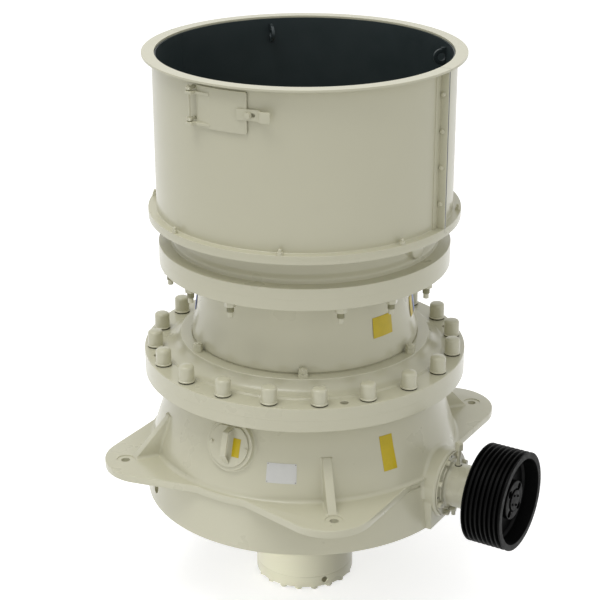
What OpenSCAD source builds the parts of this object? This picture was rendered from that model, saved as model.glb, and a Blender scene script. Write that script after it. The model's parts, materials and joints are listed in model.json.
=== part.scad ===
/* [Foundation plate] */
// Outer radius of the bottom shell where the mounting plate fits round it
seat_r = 877; // [872:1:880]
// Distance of the foundation bolts inside the seat's radius, along X
bolt_inset_x = 202; // [196:1:208]
// Distance of the foundation bolts inside the seat's radius, along Y
bolt_inset_y = 44; // [40:1:48]
// Radius of the foundation bolt holes
bolt_hole_r = 24; // [18:1:30]
// Radius of the spot face round each hole
spot_face_r = 49; // [40:1:55]
// Depth of the spot faces
spot_face_depth = 4; // [2:1:8]
// Radius of the bearing pads under the plate's corners
pad_r = 80; // [60:1:85]
// Height of the bearing pads
pad_t = 8; // [2:1:12]
// Height of the plate's top face over the bearing pads' faces
plate_top_z = 52; // [40:2:64]
// Distance from the bolts out to the plate's sides
side_edge = 159; // [150:1:165]
// Distance from the bolts out to the plate's ends
end_edge = 149; // [142:1:156]
// Corner radius of the mounting plate
plate_corner_r = 255; // [220:5:280]
// Slant of the plate's end edges, in degrees
end_slant = 12.7; // [11:0.1:14]
// Width of the narrow ring of plate between the corners
plate_ring_w = 28; // [24:1:36]
// Thickness of the gusset over each corner
gusset_t = 48; // [40:2:64]

/* [Bottom shell] */
// Depth of the skirt below the bearing pads' faces
skirt_depth = 250; // [200:5:280]
// Distance that the skirt's foot stands out past the seat
skirt_flare = 37; // [30:1:45]
// Height of the main flange joint over the bearing pads' faces
main_joint_z = 550; // [535:5:565]
// Distance that the main flange stands out past the seat
main_flange_over = 30; // [22:1:40]
// Thickness of the bottom shell's half of the main flange
lower_flange_t = 65; // [50:1:75]
// Wall thickness of the bottom shell
shell_wall_t = 60; // [45:1:70]
// Radius of the hole through the skirt under the left corner
skirt_hole_r = 38; // [30:1:42]

/* [Top shell] */
// Thickness of the top shell's half of the main flange
upper_flange_t = 68; // [50:1:80]
// Height of the stepped shoulder over the main flange
step_h = 80; // [60:1:95]
// Outer radius of the shoulder's flat top
step_r = 704; // [695:1:720]
// Height of the top shell over the main joint
top_shell_h = 640; // [620:5:660]
// Outer radius of the barrel near its waist
barrel_r = 606; // [602:1:612]
// Outer radius of the flange pair under the hopper
collar_r = 808; // [795:1:820]
// Thickness of the top shell's upper flange
collar_lower_t = 60; // [45:1:70]
// Inner radius of the top shell at its top
bowl_top_r = 560; // [550:1:565]
// Inner radius of the top shell at its foot
bowl_foot_r = 600; // [590:1:605]
// Radius of the four lifting holes in the main flange
flange_hole_r = 22; // [14:1:24]

/* [Spider ring] */
// Thickness of the spider ring's lower flange
collar_upper_t = 62; // [45:1:70]
// Outer radius of the neck
neck_r = 716; // [705:1:725]
// Height of the spider ring over the collar joint
ring_h = 234; // [220:2:270]
// Thickness of the spider ring's top flange
ring_flange_t = 23; // [18:1:50]
// Inner radius of the spider ring
ring_inner_r = 595; // [585:1:600]
// Direction of the spider arms, in degrees from the drive side
arm_angle = -5; // [-8:0.5:0]
// Width of the spider arms
arm_w = 190; // [160:5:210]
// Radius of the spider hub
spider_hub_r = 190; // [170:5:200]

/* [Hopper] */
// Outer radius of the hopper wall
hopper_r = 814; // [806:1:818]
// Thickness of the hopper wall
hopper_wall_t = 12; // [8:1:16]
// Height of the hopper over the spider ring
hopper_h = 886; // [840:2:900]
// Distance that the top rim stands out past the wall
rim_over = 54; // [46:1:60]
// Distance that the top rim reaches inside the wall's inner face
rim_lip = 2; // [1:1:6]
// Thickness of the top rim
rim_t = 12; // [8:1:16]
// Distance that the foot flange stands out past the wall
hopper_foot_over = 45; // [40:1:52]
// Thickness of the hopper's foot flange
hopper_foot_t = 25; // [16:1:30]
// Thickness of the rubber lining
lining_t = 10; // [6:1:14]
// Width of the bars along the two upright seams
seam_bar_w = 50; // [40:1:52]
// Thickness of each seam bar
seam_bar_t = 11; // [6:1:20]
// Radius of the lifting eyes' holes
lug_eye_r = 22; // [16:1:26]
// Distance from the hopper's top to the lifting eyes
lug_drop = 92; // [80:1:120]

/* [Hatch] */
// Direction of the hatch's middle, in degrees from the drive side
hatch_angle = -89.8; // [-95:0.1:-85]
// Angle that the hatch door spans
hatch_span = 20.6; // [18:0.1:22]
// Height of the hatch door
hatch_h = 215; // [180:1:230]
// Distance from the hopper's top to the hatch door
hatch_drop = 34; // [28:1:45]
// Thickness of the hatch door
hatch_door_t = 8; // [5:1:12]
// Lap of the door over the edge of its opening
hatch_lap = 20; // [18:1:28]
// Standing gap between the hopper wall and the door
hatch_gap = 5; // [5:0.5:8]
// Distance of the hinge pin outside the hopper wall
hinge_off = 36; // [32:1:40]
// Radius of the hinge pin
hinge_pin_r = 6.5; // [5:0.5:8]

/* [Inspection cover] */
// Direction of the cover's middle, in degrees from the drive side
cover_angle = -88.7; // [-92:0.1:-85]
// Height of the cover's middle over the bearing pads' faces
cover_z = 318; // [310:1:326]
// Tilt of the cover with the shell's slope, in degrees
cover_tilt = 16.5; // [14:0.5:19]
// Radius of the pad that carries the cover
cover_pad_r = 140; // [132:1:146]
// Radius of the cover
cover_r = 120; // [110:1:126]
// Thickness of the cover
cover_t = 10; // [8:1:14]
// Height of the handle over the cover
handle_reach = 50; // [40:1:60]

/* [Pinion drive] */
// Height of the pinion axis over the bearing pads' faces
pinion_z = -38; // [-50:1:-20]
// Distance that the tunnel boss's face stands out past the seat
tunnel_over = 68; // [60:1:80]
// Radius of the tunnel boss
tunnel_boss_r = 196; // [192:1:205]
// Radius of the pinion housing's flange
housing_flange_r = 183; // [178:1:186]
// Radius of the pinion housing's nose
housing_r = 124; // [112:1:128]
// Distance that the housing's nose stands out past the tunnel boss
housing_nose = 182; // [170:1:184]
// Radius of the pinion shaft
shaft_r = 55; // [45:1:60]

/* [Pulley] */
// Outer radius of the pulley
pulley_r = 277; // [265:1:290]
// Number of belt grooves
groove_count = 8; // [6:1:8]
// Pitch of the belt grooves
groove_pitch = 27.8; // [26:0.1:28]
// Depth of the belt grooves
groove_depth = 22; // [16:1:26]
// Distance of the pulley's outer face from the tunnel boss's face
pulley_over = 425; // [420:1:440]

/* [Cylinder] */
// Radius of the hydraulic cylinder
cylinder_r = 286; // [270:1:292]
// Distance of the cylinder's foot below the bearing pads' faces
cylinder_foot = 837; // [800:1:860]
// Thickness of the cylinder's cover
cylinder_cover_t = 67; // [50:1:80]
// Radius of the oil port
oil_port_r = 19; // [12:1:22]

/* [Fasteners] */
// Number of domed caps on the main flange
cap_count = 20; // [16:1:24]
// Radius of a domed cap
cap_r = 42; // [34:1:46]
// Height of a domed cap
cap_h = 100; // [80:1:110]
// Distance of the domed caps' middles from the main flange's edge
cap_edge = 62; // [56:1:68]
// Distance of the collar studs from the collar's edge
stud_edge = 48; // [42:1:56]
// Radius of the collar studs' thread
stud_r = 19.5; // [15:0.5:21]
// Number of bolts in the cylinder's cover
cover_bolt_count = 18; // [12:1:20]

/* [Hidden] */
$fn = 96;
fit = 0.3;             // gap between curved faces that seat on each other
over = 1;              // how far a cutting shape runs past what it cuts
seam_gap = 1;          // gap between the two halves of the hopper
edge_r = 3;            // chamfer on the castings' outer edges
fine = 120;            // facets of a large turned shape

skirt_foot_r = seat_r + skirt_flare;
main_flange_r = seat_r + main_flange_over;
flange_low_z = main_joint_z - lower_flange_t;
flange_top_z = main_joint_z + upper_flange_t;
step_top_z = flange_top_z + step_h;
collar_z = main_joint_z + top_shell_h;
collar_low_z = collar_z - collar_lower_t;
collar_top_z = collar_z + collar_upper_t;
ring_top_z = collar_z + ring_h;
hopper_top_z = ring_top_z + hopper_h;
hopper_foot_top_z = ring_top_z + hopper_foot_t;
hopper_wall_top_z = hopper_top_z - rim_t;
hopper_foot_r = hopper_r + hopper_foot_over;
hopper_inner_r = hopper_r - hopper_wall_t;
lining_inner_r = hopper_inner_r - fit - lining_t;
rim_r = hopper_r + rim_over;
rim_inner_r = hopper_inner_r - rim_lip;
bolt_x = seat_r - bolt_inset_x;
bolt_y = seat_r - bolt_inset_y;
ear_angle = atan2(bolt_y, bolt_x);
ear_r = norm([bolt_x, bolt_y]);
plate_half_x = bolt_x + side_edge;
plate_half_y = bolt_y + end_edge;
plate_ring_r = seat_r + plate_ring_w;
cap_circle_r = main_flange_r - cap_edge;
stud_circle_r = collar_r - stud_edge;
tunnel_face_x = seat_r + tunnel_over;
pulley_face_x = tunnel_face_x + pulley_over;

// ---- helpers ----

// Points of an arc about (cx, cz) from angle a0 to a1
function arc(cx, cz, r, a0, a1, n = 8) =
    [for (i = [0 : n]) [cx + r * cos(a0 + (a1 - a0) * i / n), cz + r * sin(a0 + (a1 - a0) * i / n)]];

// Points of a quarter ellipse that starts level at p and ends upright at q, hollow side up
function hollow(p, q, n = 8) =
    [for (i = [0 : n]) [p[0] + (q[0] - p[0]) * sin(90 * i / n), q[1] + (p[1] - q[1]) * cos(90 * i / n)]];

// Points of a quarter ellipse from the edge at radius r up to the axis
function dome(r, z, rise, n = 9) = [for (i = [0 : n]) [r * cos(90 * i / n), z + rise * sin(90 * i / n)]];

// Outline of a plain ring between two radii and two heights
function tube(r_in, r_out, z0, z1) = [[r_in, z0], [r_out, z0], [r_out, z1], [r_in, z1]];

// Outline points of a flange's edge with small chamfers, from its foot up
function flange_edge(r, z0, z1) = [[r - edge_r, z0], [r, z0 + edge_r], [r, z1 - edge_r], [r - edge_r, z1]];

// Angle in degrees that a length takes up on a circle
function on_circle(length, r) = length / r * 180 / PI;

module turned(profile) {
    rotate_extrude($fn = fine) polygon(profile);
}

// Part of a turned profile that starts at an angle and runs for a span
module turned_sector(profile, start, span) {
    rotate([0, 0, start]) rotate_extrude(angle = span, $fn = fine) polygon(profile);
}

// Half of a turned ring on one side of the hopper's seam: side -1 is the front
module half_ring(profile, side) {
    box = 2 * rim_r;
    intersection() {
        turned(profile);
        translate([-box, side > 0 ? seam_gap / 2 : -box - seam_gap / 2, ring_top_z - over])
            cube([2 * box, box, hopper_h + 2 * over]);
    }
}

// Places its children at a count of equal angles on a circle
module ring_of(count, r, first = 0) {
    for (i = [0 : count - 1]) rotate([0, 0, first + i * 360 / count]) translate([r, 0, 0]) children();
}

// Turns something drawn along +Z so that it points along +X
module along_x() {
    rotate([0, 90, 0]) children();
}

// A plate in the XZ plane, centred on Y
module upright_plate(outline, thickness) {
    translate([0, thickness / 2, 0]) rotate([90, 0, 0]) linear_extrude(thickness) polygon(outline);
}

// ---- hopper ----

hatch_top_z = hopper_top_z - hatch_drop;
hatch_low_z = hatch_top_z - hatch_h;
hatch_half = hatch_span / 2;
lap_angle = on_circle(hatch_lap, hopper_r);
opening_in = 20;       // how far the opening's cutter reaches past the lining
opening_out = 30;      // how far the opening's cutter reaches past the wall

// Cutter for the hatch's opening, larger all round by an extra length
module hatch_opening(extra = 0) {
    opening_half = hatch_half - lap_angle - on_circle(extra, hopper_r);
    turned_sector(
        tube(lining_inner_r - opening_in, hopper_r + opening_out,
            hatch_low_z + hatch_lap + extra, hatch_top_z - hatch_lap - extra),
        hatch_angle - opening_half, 2 * opening_half);
}

module hopper_wall(side) {
    difference() {
        half_ring(tube(hopper_inner_r, hopper_r, hopper_foot_top_z, hopper_wall_top_z), side);
        if (side < 0) hatch_opening();
    }
}
module hopper_wall_front() { color("#bdbba6") hopper_wall(-1); }
module hopper_wall_back() { color("#bdbba6") hopper_wall(1); }

module hopper_rim(side) {
    half_ring(tube(rim_inner_r, rim_r, hopper_wall_top_z, hopper_top_z), side);
}
module hopper_rim_front() { color("#c9c7b4") hopper_rim(-1); }
module hopper_rim_back() { color("#c9c7b4") hopper_rim(1); }

module hopper_foot(side) {
    half_ring(tube(lining_inner_r, hopper_foot_r, ring_top_z, hopper_foot_top_z), side);
}
module hopper_foot_front() { color("#c2c0ab") hopper_foot(-1); }
module hopper_foot_back() { color("#c2c0ab") hopper_foot(1); }

seam_bar_root = 5;     // how far a bar's blank reaches into the wall before it is trimmed
// Two bars on each upright seam, one on each half of the hopper
module hopper_seam_bars() {
    color("#b7b5a0")
    for (end = [-1, 1], side = [-1, 1])
        difference() {
            translate([
                end > 0 ? hopper_r - seam_bar_root : -hopper_r - seam_bar_w,
                side > 0 ? seam_gap / 2 : -seam_bar_t - seam_gap / 2,
                hopper_foot_top_z
            ])
                cube([seam_bar_w + seam_bar_root, seam_bar_t, hopper_wall_top_z - hopper_foot_top_z]);
            translate([0, 0, hopper_foot_top_z - over])
                cylinder(r = hopper_r + fit, h = hopper_h, $fn = fine);
        }
}

module hopper_lining(side) {
    difference() {
        half_ring(tube(lining_inner_r, hopper_inner_r - fit, hopper_foot_top_z, hopper_wall_top_z), side);
        if (side < 0) hatch_opening();
    }
}
module hopper_lining_front() { color("#23292a") hopper_lining(-1); }
module hopper_lining_back() { color("#23292a") hopper_lining(1); }

lug_reach = 70;
lug_t = 16;
lug_h = 104;
lug_first_angle = 45;
lug_round_r = 2 * lug_eye_r;
lug_eye_z = hopper_top_z - lug_drop;
lug_eye_x = lining_inner_r - lug_reach + lug_round_r;

// Four eye plates inside the hopper, standing in radial planes
module hopper_lifting_lugs() {
    color("#23292a")
    for (i = [0 : 3])
        rotate([0, 0, lug_first_angle + i * 90])
            intersection() {
                difference() {
                    union() {
                        translate([lug_eye_x, 0, lug_eye_z])
                            rotate([90, 0, 0]) cylinder(r = lug_round_r, h = lug_t, center = true);
                        translate([lug_eye_x, -lug_t / 2, lug_eye_z - lug_h / 2])
                            cube([lug_reach - lug_round_r, lug_t, lug_h]);
                    }
                    translate([lug_eye_x, 0, lug_eye_z])
                        rotate([90, 0, 0])
                            cylinder(r = lug_eye_r, h = lug_t + 2 * over, center = true, $fn = 48);
                }
                cylinder(r = lining_inner_r - fit, h = hopper_top_z);
            }
}

// ---- hatch ----

hinge_beyond = 2;      // angle of the hinge pin past the door's edge
hinge_r = hopper_r + hinge_off;
hinge_angle = hatch_angle - hatch_half - hinge_beyond;
hinge_lug_t = 14;
hinge_lug_r = 19;
hinge_bore_gap = 0.5;
wall_lug_r = 16;
wall_lug_w = 22;
wall_lug_root = 6;
wall_lug_gap = 6;
door_in_r = hopper_r + hatch_gap;
door_out_r = door_in_r + hatch_door_t;
door_lug_drop = 30;
door_lug_rise = 26;
door_lug_top_z = hatch_top_z - door_lug_drop;
door_lug_low_z = hatch_low_z + door_lug_rise;
door_bar_angle = 5.8;
door_bar_t = 14;
door_tongue = 32;
pin_end = 6;
pin_head_over = 4;
pin_low_z = door_lug_low_z - hinge_lug_t - pin_end;

// Places its children on the hinge axis, with +X pointing away from the hopper
module at_hinge() {
    rotate([0, 0, hinge_angle]) translate([hinge_r, 0, 0]) children();
}

// A flat lug round the pin, reaching back to the hopper wall
module hinge_wall_lug(z) {
    cut_h = hinge_lug_t + 2 * over;
    difference() {
        union() {
            translate([0, 0, z]) at_hinge() cylinder(r = wall_lug_r, h = hinge_lug_t, $fn = 48);
            rotate([0, 0, hinge_angle])
                translate([hopper_r - wall_lug_root, -wall_lug_w / 2, z])
                    cube([hinge_off + wall_lug_root, wall_lug_w, hinge_lug_t]);
        }
        translate([0, 0, z - over]) cylinder(r = hopper_r + fit, h = cut_h, $fn = fine);
        translate([0, 0, z - over]) at_hinge() cylinder(r = hinge_pin_r + fit / 2, h = cut_h, $fn = 48);
    }
}

wall_lug_top_z = door_lug_top_z + wall_lug_gap;
wall_lug_low_z = door_lug_low_z + wall_lug_gap;
pin_h = wall_lug_top_z + hinge_lug_t + pin_end - pin_low_z;
module hatch_hinge_lugs() {
    color("#bdbba6") {
        hinge_wall_lug(wall_lug_top_z);
        hinge_wall_lug(wall_lug_low_z);
    }
}

module hatch_hinge_pin() {
    color("#bdbba6")
    at_hinge()
        translate([0, 0, pin_low_z]) {
            cylinder(r = hinge_pin_r, h = pin_h, $fn = 48);
            translate([0, 0, pin_h - pin_end])
                cylinder(r = hinge_pin_r + pin_head_over, h = pin_end, $fn = 48);
        }
}

// A lug on the door: a curved bar over the door's face that ends round the pin
module hinge_door_lug(z) {
    low = z - hinge_lug_t;
    difference() {
        union() {
            turned_sector(tube(door_out_r, door_out_r + door_bar_t, low, z),
                hatch_angle - hatch_half, door_bar_angle);
            rotate([0, 0, hinge_angle])
                translate([hinge_r - hinge_lug_r, 0, low]) cube([2 * hinge_lug_r, door_tongue, hinge_lug_t]);
            at_hinge() translate([0, 0, low]) cylinder(r = hinge_lug_r, h = hinge_lug_t, $fn = 48);
        }
        at_hinge() translate([0, 0, low - over])
            cylinder(r = hinge_pin_r + hinge_bore_gap, h = hinge_lug_t + 2 * over, $fn = 48);
    }
}

module hatch_door() {
    color("#bdbba6") {
        turned_sector(tube(door_in_r, door_out_r, hatch_low_z, hatch_top_z),
            hatch_angle - hatch_half, hatch_span);
        hinge_door_lug(door_lug_top_z);
        hinge_door_lug(door_lug_low_z);
    }
}

seal_w = 14;
seal_inset = 3;
module hatch_seal() {
    inset_angle = on_circle(seal_inset, hopper_r);
    color("#2b2f2f")
    difference() {
        turned_sector(
            tube(hopper_r + fit, door_in_r - fit, hatch_low_z + seal_inset, hatch_top_z - seal_inset),
            hatch_angle - hatch_half + inset_angle, hatch_span - 2 * inset_angle);
        hatch_opening(-(hatch_lap - seal_inset - seal_w));
    }
}

strap_h = 57;
strap_t = 8;
strap_drop = 112;
strap_mid_z = hatch_top_z - strap_drop;
strap_beyond = 0.7;    // angle of the strap's bolt past the door's free edge
strap_angle = hatch_angle + hatch_half + strap_beyond;
strap_lap = 60;
strap_flat = 56;
strap_step = 25;
strap_step_run = 16;
strap_tab = 52;
strap_slot = 28;
strap_bolt_r = 9;
strap_hole_r = 10.5;
strap_washer_r = 20;
strap_washer_t = 3;
strap_head_r = 17;
strap_head_t = 13;
strap_x = door_out_r + fit;

// A flat clamp strap over the door's free edge, with its end stepped out as a grip
module hatch_strap() {
    bend_y = strap_flat - strap_t / 4;
    grip_y = strap_flat + strap_step_run;
    color("#bdbba6")
    rotate([0, 0, strap_angle])
        difference() {
            translate([0, 0, strap_mid_z - strap_h / 2])
                linear_extrude(strap_h)
                    polygon([
                        [strap_x, -strap_lap], [strap_x, strap_flat],
                        [strap_x + strap_step, grip_y],
                        [strap_x + strap_step, grip_y + strap_tab],
                        [strap_x + strap_step + strap_t, grip_y + strap_tab],
                        [strap_x + strap_step + strap_t, grip_y - strap_t / 4],
                        [strap_x + strap_t, bend_y], [strap_x + strap_t, -strap_lap]
                    ]);
            for (y = [0, strap_slot])
                translate([strap_x - over, y, strap_mid_z])
                    along_x() cylinder(r = strap_hole_r, h = strap_t + 2 * over, $fn = 48);
            translate([strap_x - over, 0, strap_mid_z - strap_hole_r])
                cube([strap_t + 2 * over, strap_slot, 2 * strap_hole_r]);
        }
}

module hatch_strap_bolt() {
    color("#bdbba6")
    rotate([0, 0, strap_angle])
        translate([strap_x, 0, strap_mid_z])
            along_x() {
                cylinder(r = strap_bolt_r, h = strap_t + over, $fn = 48);
                translate([0, 0, strap_t]) cylinder(r = strap_washer_r, h = strap_washer_t, $fn = 48);
                translate([0, 0, strap_t + strap_washer_t])
                    cylinder(r = strap_head_r, h = strap_head_t, $fn = 6);
            }
}

// ---- spider ring ----

bead_over = 22;
bead_h = 14;
fillet_r = 26;
fillet_h = 46;
feed_chamfer = 60;
feed_chamfer_h = 76;
boss_over = 29;        // how far an arm's end boss stands out past the neck
boss_root = 30;
boss_top_half = 95;
boss_mid_half = 60;
boss_low_half = 30;
boss_mid_h = 71;
boss_low_h = 112;
boss_h = 121;

// A U-shaped boss on the neck at the end of a spider arm
module arm_end_boss() {
    top = ring_top_z - ring_flange_t;
    low = top - boss_low_h;
    outline = [
        [-boss_top_half, top + over], [-boss_top_half, top], [-boss_mid_half, top - boss_mid_h],
        [-boss_low_half, low], [0, top - boss_h], [boss_low_half, low],
        [boss_mid_half, top - boss_mid_h], [boss_top_half, top], [boss_top_half, top + over]
    ];
    intersection() {
        translate([neck_r - boss_root - over, 0, 0])
            rotate([90, 0, 90]) linear_extrude(boss_root + boss_over + 2 * over) polygon(outline);
        turned(tube(neck_r - boss_root, neck_r + boss_over, collar_top_z, ring_top_z));
    }
}

module spider_ring() {
    bead_r = neck_r + bead_over;
    bead_z = collar_top_z + bead_h;
    color("#bab8a3") {
        turned(concat(
            [[ring_inner_r, collar_z]],
            flange_edge(collar_r, collar_z, collar_top_z),
            [[bead_r, collar_top_z]],
            arc(bead_r - fillet_r, bead_z, fillet_r, 0, 80, 6),
            [[neck_r, collar_top_z + fillet_h], [neck_r, ring_top_z - ring_flange_t]],
            [[hopper_foot_r, ring_top_z - ring_flange_t], [hopper_foot_r, ring_top_z]],
            [[ring_inner_r + feed_chamfer, ring_top_z], [ring_inner_r, ring_top_z - feed_chamfer_h]]
        ));
        for (end = [0, 180]) rotate([0, 0, arm_angle + end]) arm_end_boss();
    }
}

spider_hub_rise = 60;
spider_arm_rise = 80;
spider_arm_h = 170;
spider_bore_r = 110;
spider_hub_h = ring_h - 28;
spider_hub_low_z = collar_z + spider_hub_rise;
spider_hub_top_z = spider_hub_low_z + spider_hub_h;
spider_arm_low_z = collar_z + spider_arm_rise;
spider_arm_top_z = spider_arm_low_z + spider_arm_h;

// The hub over the main shaft and the two arms that hold it
module spider() {
    color("#9b998a")
    intersection() {
        difference() {
            union() {
                translate([0, 0, spider_hub_low_z]) cylinder(r = spider_hub_r, h = spider_hub_h);
                rotate([0, 0, arm_angle])
                    translate([-ring_inner_r, -arm_w / 2, spider_arm_low_z])
                        cube([2 * ring_inner_r, arm_w, spider_arm_h]);
            }
            translate([0, 0, spider_hub_low_z - over])
                cylinder(r = spider_bore_r + fit, h = spider_hub_h + 2 * over);
        }
        translate([0, 0, collar_z]) cylinder(r = ring_inner_r - fit, h = 2 * ring_h, $fn = fine);
    }
}

cap_foot_h = 30;
cap_dome_h = 90;
module spider_cap() {
    color("#4a4b45")
    translate([0, 0, spider_hub_top_z])
        turned(concat([[0, 0], [spider_hub_r, 0]], dome(spider_hub_r, cap_foot_h, cap_dome_h)));
}

shield_h = 60;
shield_gap = 4;
shield_bow = 1.12;     // roundness of a shield's back against the arm's half width
// Round-backed wear shields on the two arms
module spider_arm_shields() {
    back_r = arm_w / 2 * shield_bow;
    color("#4a4b45")
    for (end = [0, 180])
        rotate([0, 0, arm_angle + end])
            intersection() {
                translate([spider_hub_r + shield_gap, 0, spider_arm_top_z])
                    along_x()
                        linear_extrude(ring_inner_r)
                            intersection() {
                                translate([arm_w / 2 - shield_h, 0]) circle(r = back_r, $fn = 64);
                                translate([-arm_w, -arm_w]) square([arm_w, 2 * arm_w]);
                            }
                translate([0, 0, collar_z]) cylinder(r = ring_inner_r - fit, h = 2 * ring_h, $fn = fine);
            }
}

// ---- top shell ----

shoulder_w = 72;
step_corner = 8;
step_corner_w = 6;
flange_hole_h = 45;
flange_hole_first = 45;
// Barrel outline, as pairs of height over the shoulder's top and swell over the barrel's radius
BARREL = [[0, 22], [9, 31], [48, 29], [98, 18], [186, 2], [300, -8]];
// Curve under the collar, as pairs of depth under it and swell over the barrel's radius
UNDER_COLLAR = [[40, -10], [12, 4], [0, 30]];

// Outer radius of the top shell's barrel at a height
function barrel_at(z) = barrel_r + lookup(z - step_top_z, BARREL);

module top_shell() {
    color("#bcbaa5")
    difference() {
        turned(concat(
            [[bowl_foot_r, main_joint_z]],
            flange_edge(main_flange_r, main_joint_z, flange_top_z),
            hollow([step_r + shoulder_w, flange_top_z], [step_r, step_top_z - step_corner]),
            [[step_r - step_corner_w, step_top_z]],
            [for (p = BARREL) [barrel_r + p[1], step_top_z + p[0]]],
            [for (p = UNDER_COLLAR) [barrel_r + p[1], collar_low_z - p[0]]],
            flange_edge(collar_r, collar_low_z, collar_z),
            [[bowl_top_r, collar_z]]
        ));
        ring_of(4, cap_circle_r, flange_hole_first)
            translate([0, 0, flange_top_z - flange_hole_h])
                cylinder(r = flange_hole_r, h = flange_hole_h + over, $fn = 48);
    }
}

stud_washer_r = 38;
stud_washer_t = 4;
stud_nut_r = 34;
stud_nut_h = 30;
stud_thread_len = 30;
stud_end_r = 15;
stud_end_len = 30;
stud_groups = [-112.5, -22.5, 67.5, 157.5];
stud_pitch = 22.5;
stud_nut_low = stud_washer_t + stud_nut_h;
stud_thread_low = stud_nut_low + stud_thread_len;
// Studs in groups of three that hang below the collar with their nuts
module collar_studs() {
    color("#a9a793")
    for (middle = stud_groups, step = [-1, 0, 1])
        rotate([0, 0, middle + step * stud_pitch])
            translate([stud_circle_r, 0, collar_low_z]) {
                translate([0, 0, -stud_washer_t]) cylinder(r = stud_washer_r, h = stud_washer_t, $fn = 48);
                translate([0, 0, -stud_nut_low]) cylinder(r = stud_nut_r, h = stud_nut_h, $fn = 6);
                translate([0, 0, -stud_thread_low]) cylinder(r = stud_r, h = stud_thread_len, $fn = 32);
                translate([0, 0, -stud_thread_low - stud_end_len])
                    cylinder(r = stud_end_r, h = stud_end_len, $fn = 32);
            }
}

step_nut_count = 6;
step_nut_edge = 32;
step_washer_r = 29;
step_washer_t = 4;
step_nut_r = 26;
step_nut_h = 22;
step_thread_r = 15;
step_thread_h = 18;
module step_nuts() {
    color("#bcbaa5")
    ring_of(step_nut_count, step_r - step_nut_edge)
        translate([0, 0, step_top_z]) {
            cylinder(r = step_washer_r, h = step_washer_t, $fn = 48);
            translate([0, 0, step_washer_t]) cylinder(r = step_nut_r, h = step_nut_h, $fn = 6);
            translate([0, 0, step_washer_t + step_nut_h])
                cylinder(r = step_thread_r, h = step_thread_h, $fn = 32);
        }
}

cap_lip = 5;
cap_lip_low = 6;
cap_lip_bevel = 2;
cap_lip_high = 14;
cap_neck_z = 24;
cap_round_r = 24;
module main_flange_caps() {
    lip_r = cap_r + cap_lip;
    color("#c4c2ae")
    ring_of(cap_count, cap_circle_r)
        translate([0, 0, flange_top_z])
            rotate_extrude($fn = 48)
                polygon(concat(
                    [[0, 0], [cap_r, 0], [cap_r, cap_lip_low], [lip_r, cap_lip_low + cap_lip_bevel]],
                    [[lip_r, cap_lip_high], [cap_r, cap_neck_z]],
                    arc(cap_r - cap_round_r, cap_h - cap_round_r, cap_round_r, 0, 90, 6),
                    [[0, cap_h]]));
}

// ---- crushing chamber ----

concave_rise = 90;
concave_drop = 5;
concave_mid_h = 230;
chamber_top_r = 470;
chamber_mid_r = 512;
chamber_foot_r = 540;
concave_foot_z = main_joint_z + concave_rise;
concave_top_z = collar_z - concave_drop;
// Inner radius of the top shell's bowl at a height
function bowl_r(z) = bowl_foot_r + (bowl_top_r - bowl_foot_r) * (z - main_joint_z) / top_shell_h;

module concave_ring() {
    color("#55564f")
    turned([
        [chamber_foot_r, concave_foot_z], [bowl_r(concave_foot_z) - fit, concave_foot_z],
        [bowl_r(concave_top_z) - fit, concave_top_z], [chamber_top_r, concave_top_z],
        [chamber_mid_r, concave_foot_z + concave_mid_h]
    ]);
}

mantle_foot_r = 548;
mantle_top_r = 215;
mantle_t = 50;
mantle_edge = 12;
mantle_foot_rise = 36;
mantle_top_drop = 70;
mantle_foot_z = main_joint_z + mantle_foot_rise;
mantle_top_z = collar_z - mantle_top_drop;
module mantle() {
    color("#5c5d56")
    turned([
        [mantle_foot_r - mantle_t, mantle_foot_z], [mantle_foot_r - mantle_edge, mantle_foot_z],
        [mantle_foot_r, mantle_foot_z + mantle_edge], [mantle_top_r, mantle_top_z],
        [mantle_top_r - mantle_t, mantle_top_z]
    ]);
}

hub_r = 300;
hub_case_r = 380;
hub_flare_low = 40;
hub_flare_top = 110;
hub_top_z = 440;
hub_low_z = -230;
head_inset = 20;
head_skirt_h = 40;
head_gap = 4;
head_nut_r = 190;
head_nut_h = 50;
head_nut_bevel = 40;
head_nut_top = 70;
shaft_top_r = 110;
shaft_top_gap = 6;
// The head that carries the mantle, its nut and the main shaft
module head_and_shaft() {
    head_r = hub_case_r - head_inset;
    nut_z = mantle_top_z + head_nut_top;
    color("#6a6b63")
    turned([
        [0, hub_top_z], [head_r, hub_top_z], [head_r, hub_top_z + head_skirt_h],
        [mantle_foot_r - mantle_t - head_gap, mantle_foot_z], [mantle_top_r - mantle_t - fit, mantle_top_z],
        [mantle_top_r - mantle_t - fit, mantle_top_z + fit], [head_nut_r, mantle_top_z + fit],
        [head_nut_r, mantle_top_z + head_nut_h], [head_nut_r - head_nut_bevel, nut_z],
        [shaft_top_r, nut_z], [shaft_top_r, spider_hub_top_z - shaft_top_gap],
        [0, spider_hub_top_z - shaft_top_gap]
    ]);
}

// ---- bottom shell ----

// Shell outline over the plate, as pairs of height over the plate's top and inset from the seat
SHELL = [[0, 0], [34, 5], [114, 29], [234, 69]];
// Waist under the main flange, as pairs of depth under it and inset from the seat
WAIST = [[55, 108], [15, 105], [0, 85]];
skirt_chamfer = 6;
shoulder_over = 9;
SKIRT_LINE = [
    [skirt_foot_r - skirt_chamfer, -skirt_depth], [skirt_foot_r, -skirt_depth + skirt_chamfer],
    [seat_r + shoulder_over, pad_t]
];
SHELL_LINE = concat(
    [[seat_r, pad_t]],
    [for (p = SHELL) [seat_r - p[1], plate_top_z + p[0]]],
    [for (p = WAIST) [seat_r - p[1], flange_low_z - p[0]]]
);

// Outer radius of the shell at a height over the plate
function shell_r(z) = lookup(z, [for (p = SHELL_LINE) [p[1], p[0]]]);
function grown(line, extra) = [for (p = line) [p[0] + extra, p[1]]];

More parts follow.
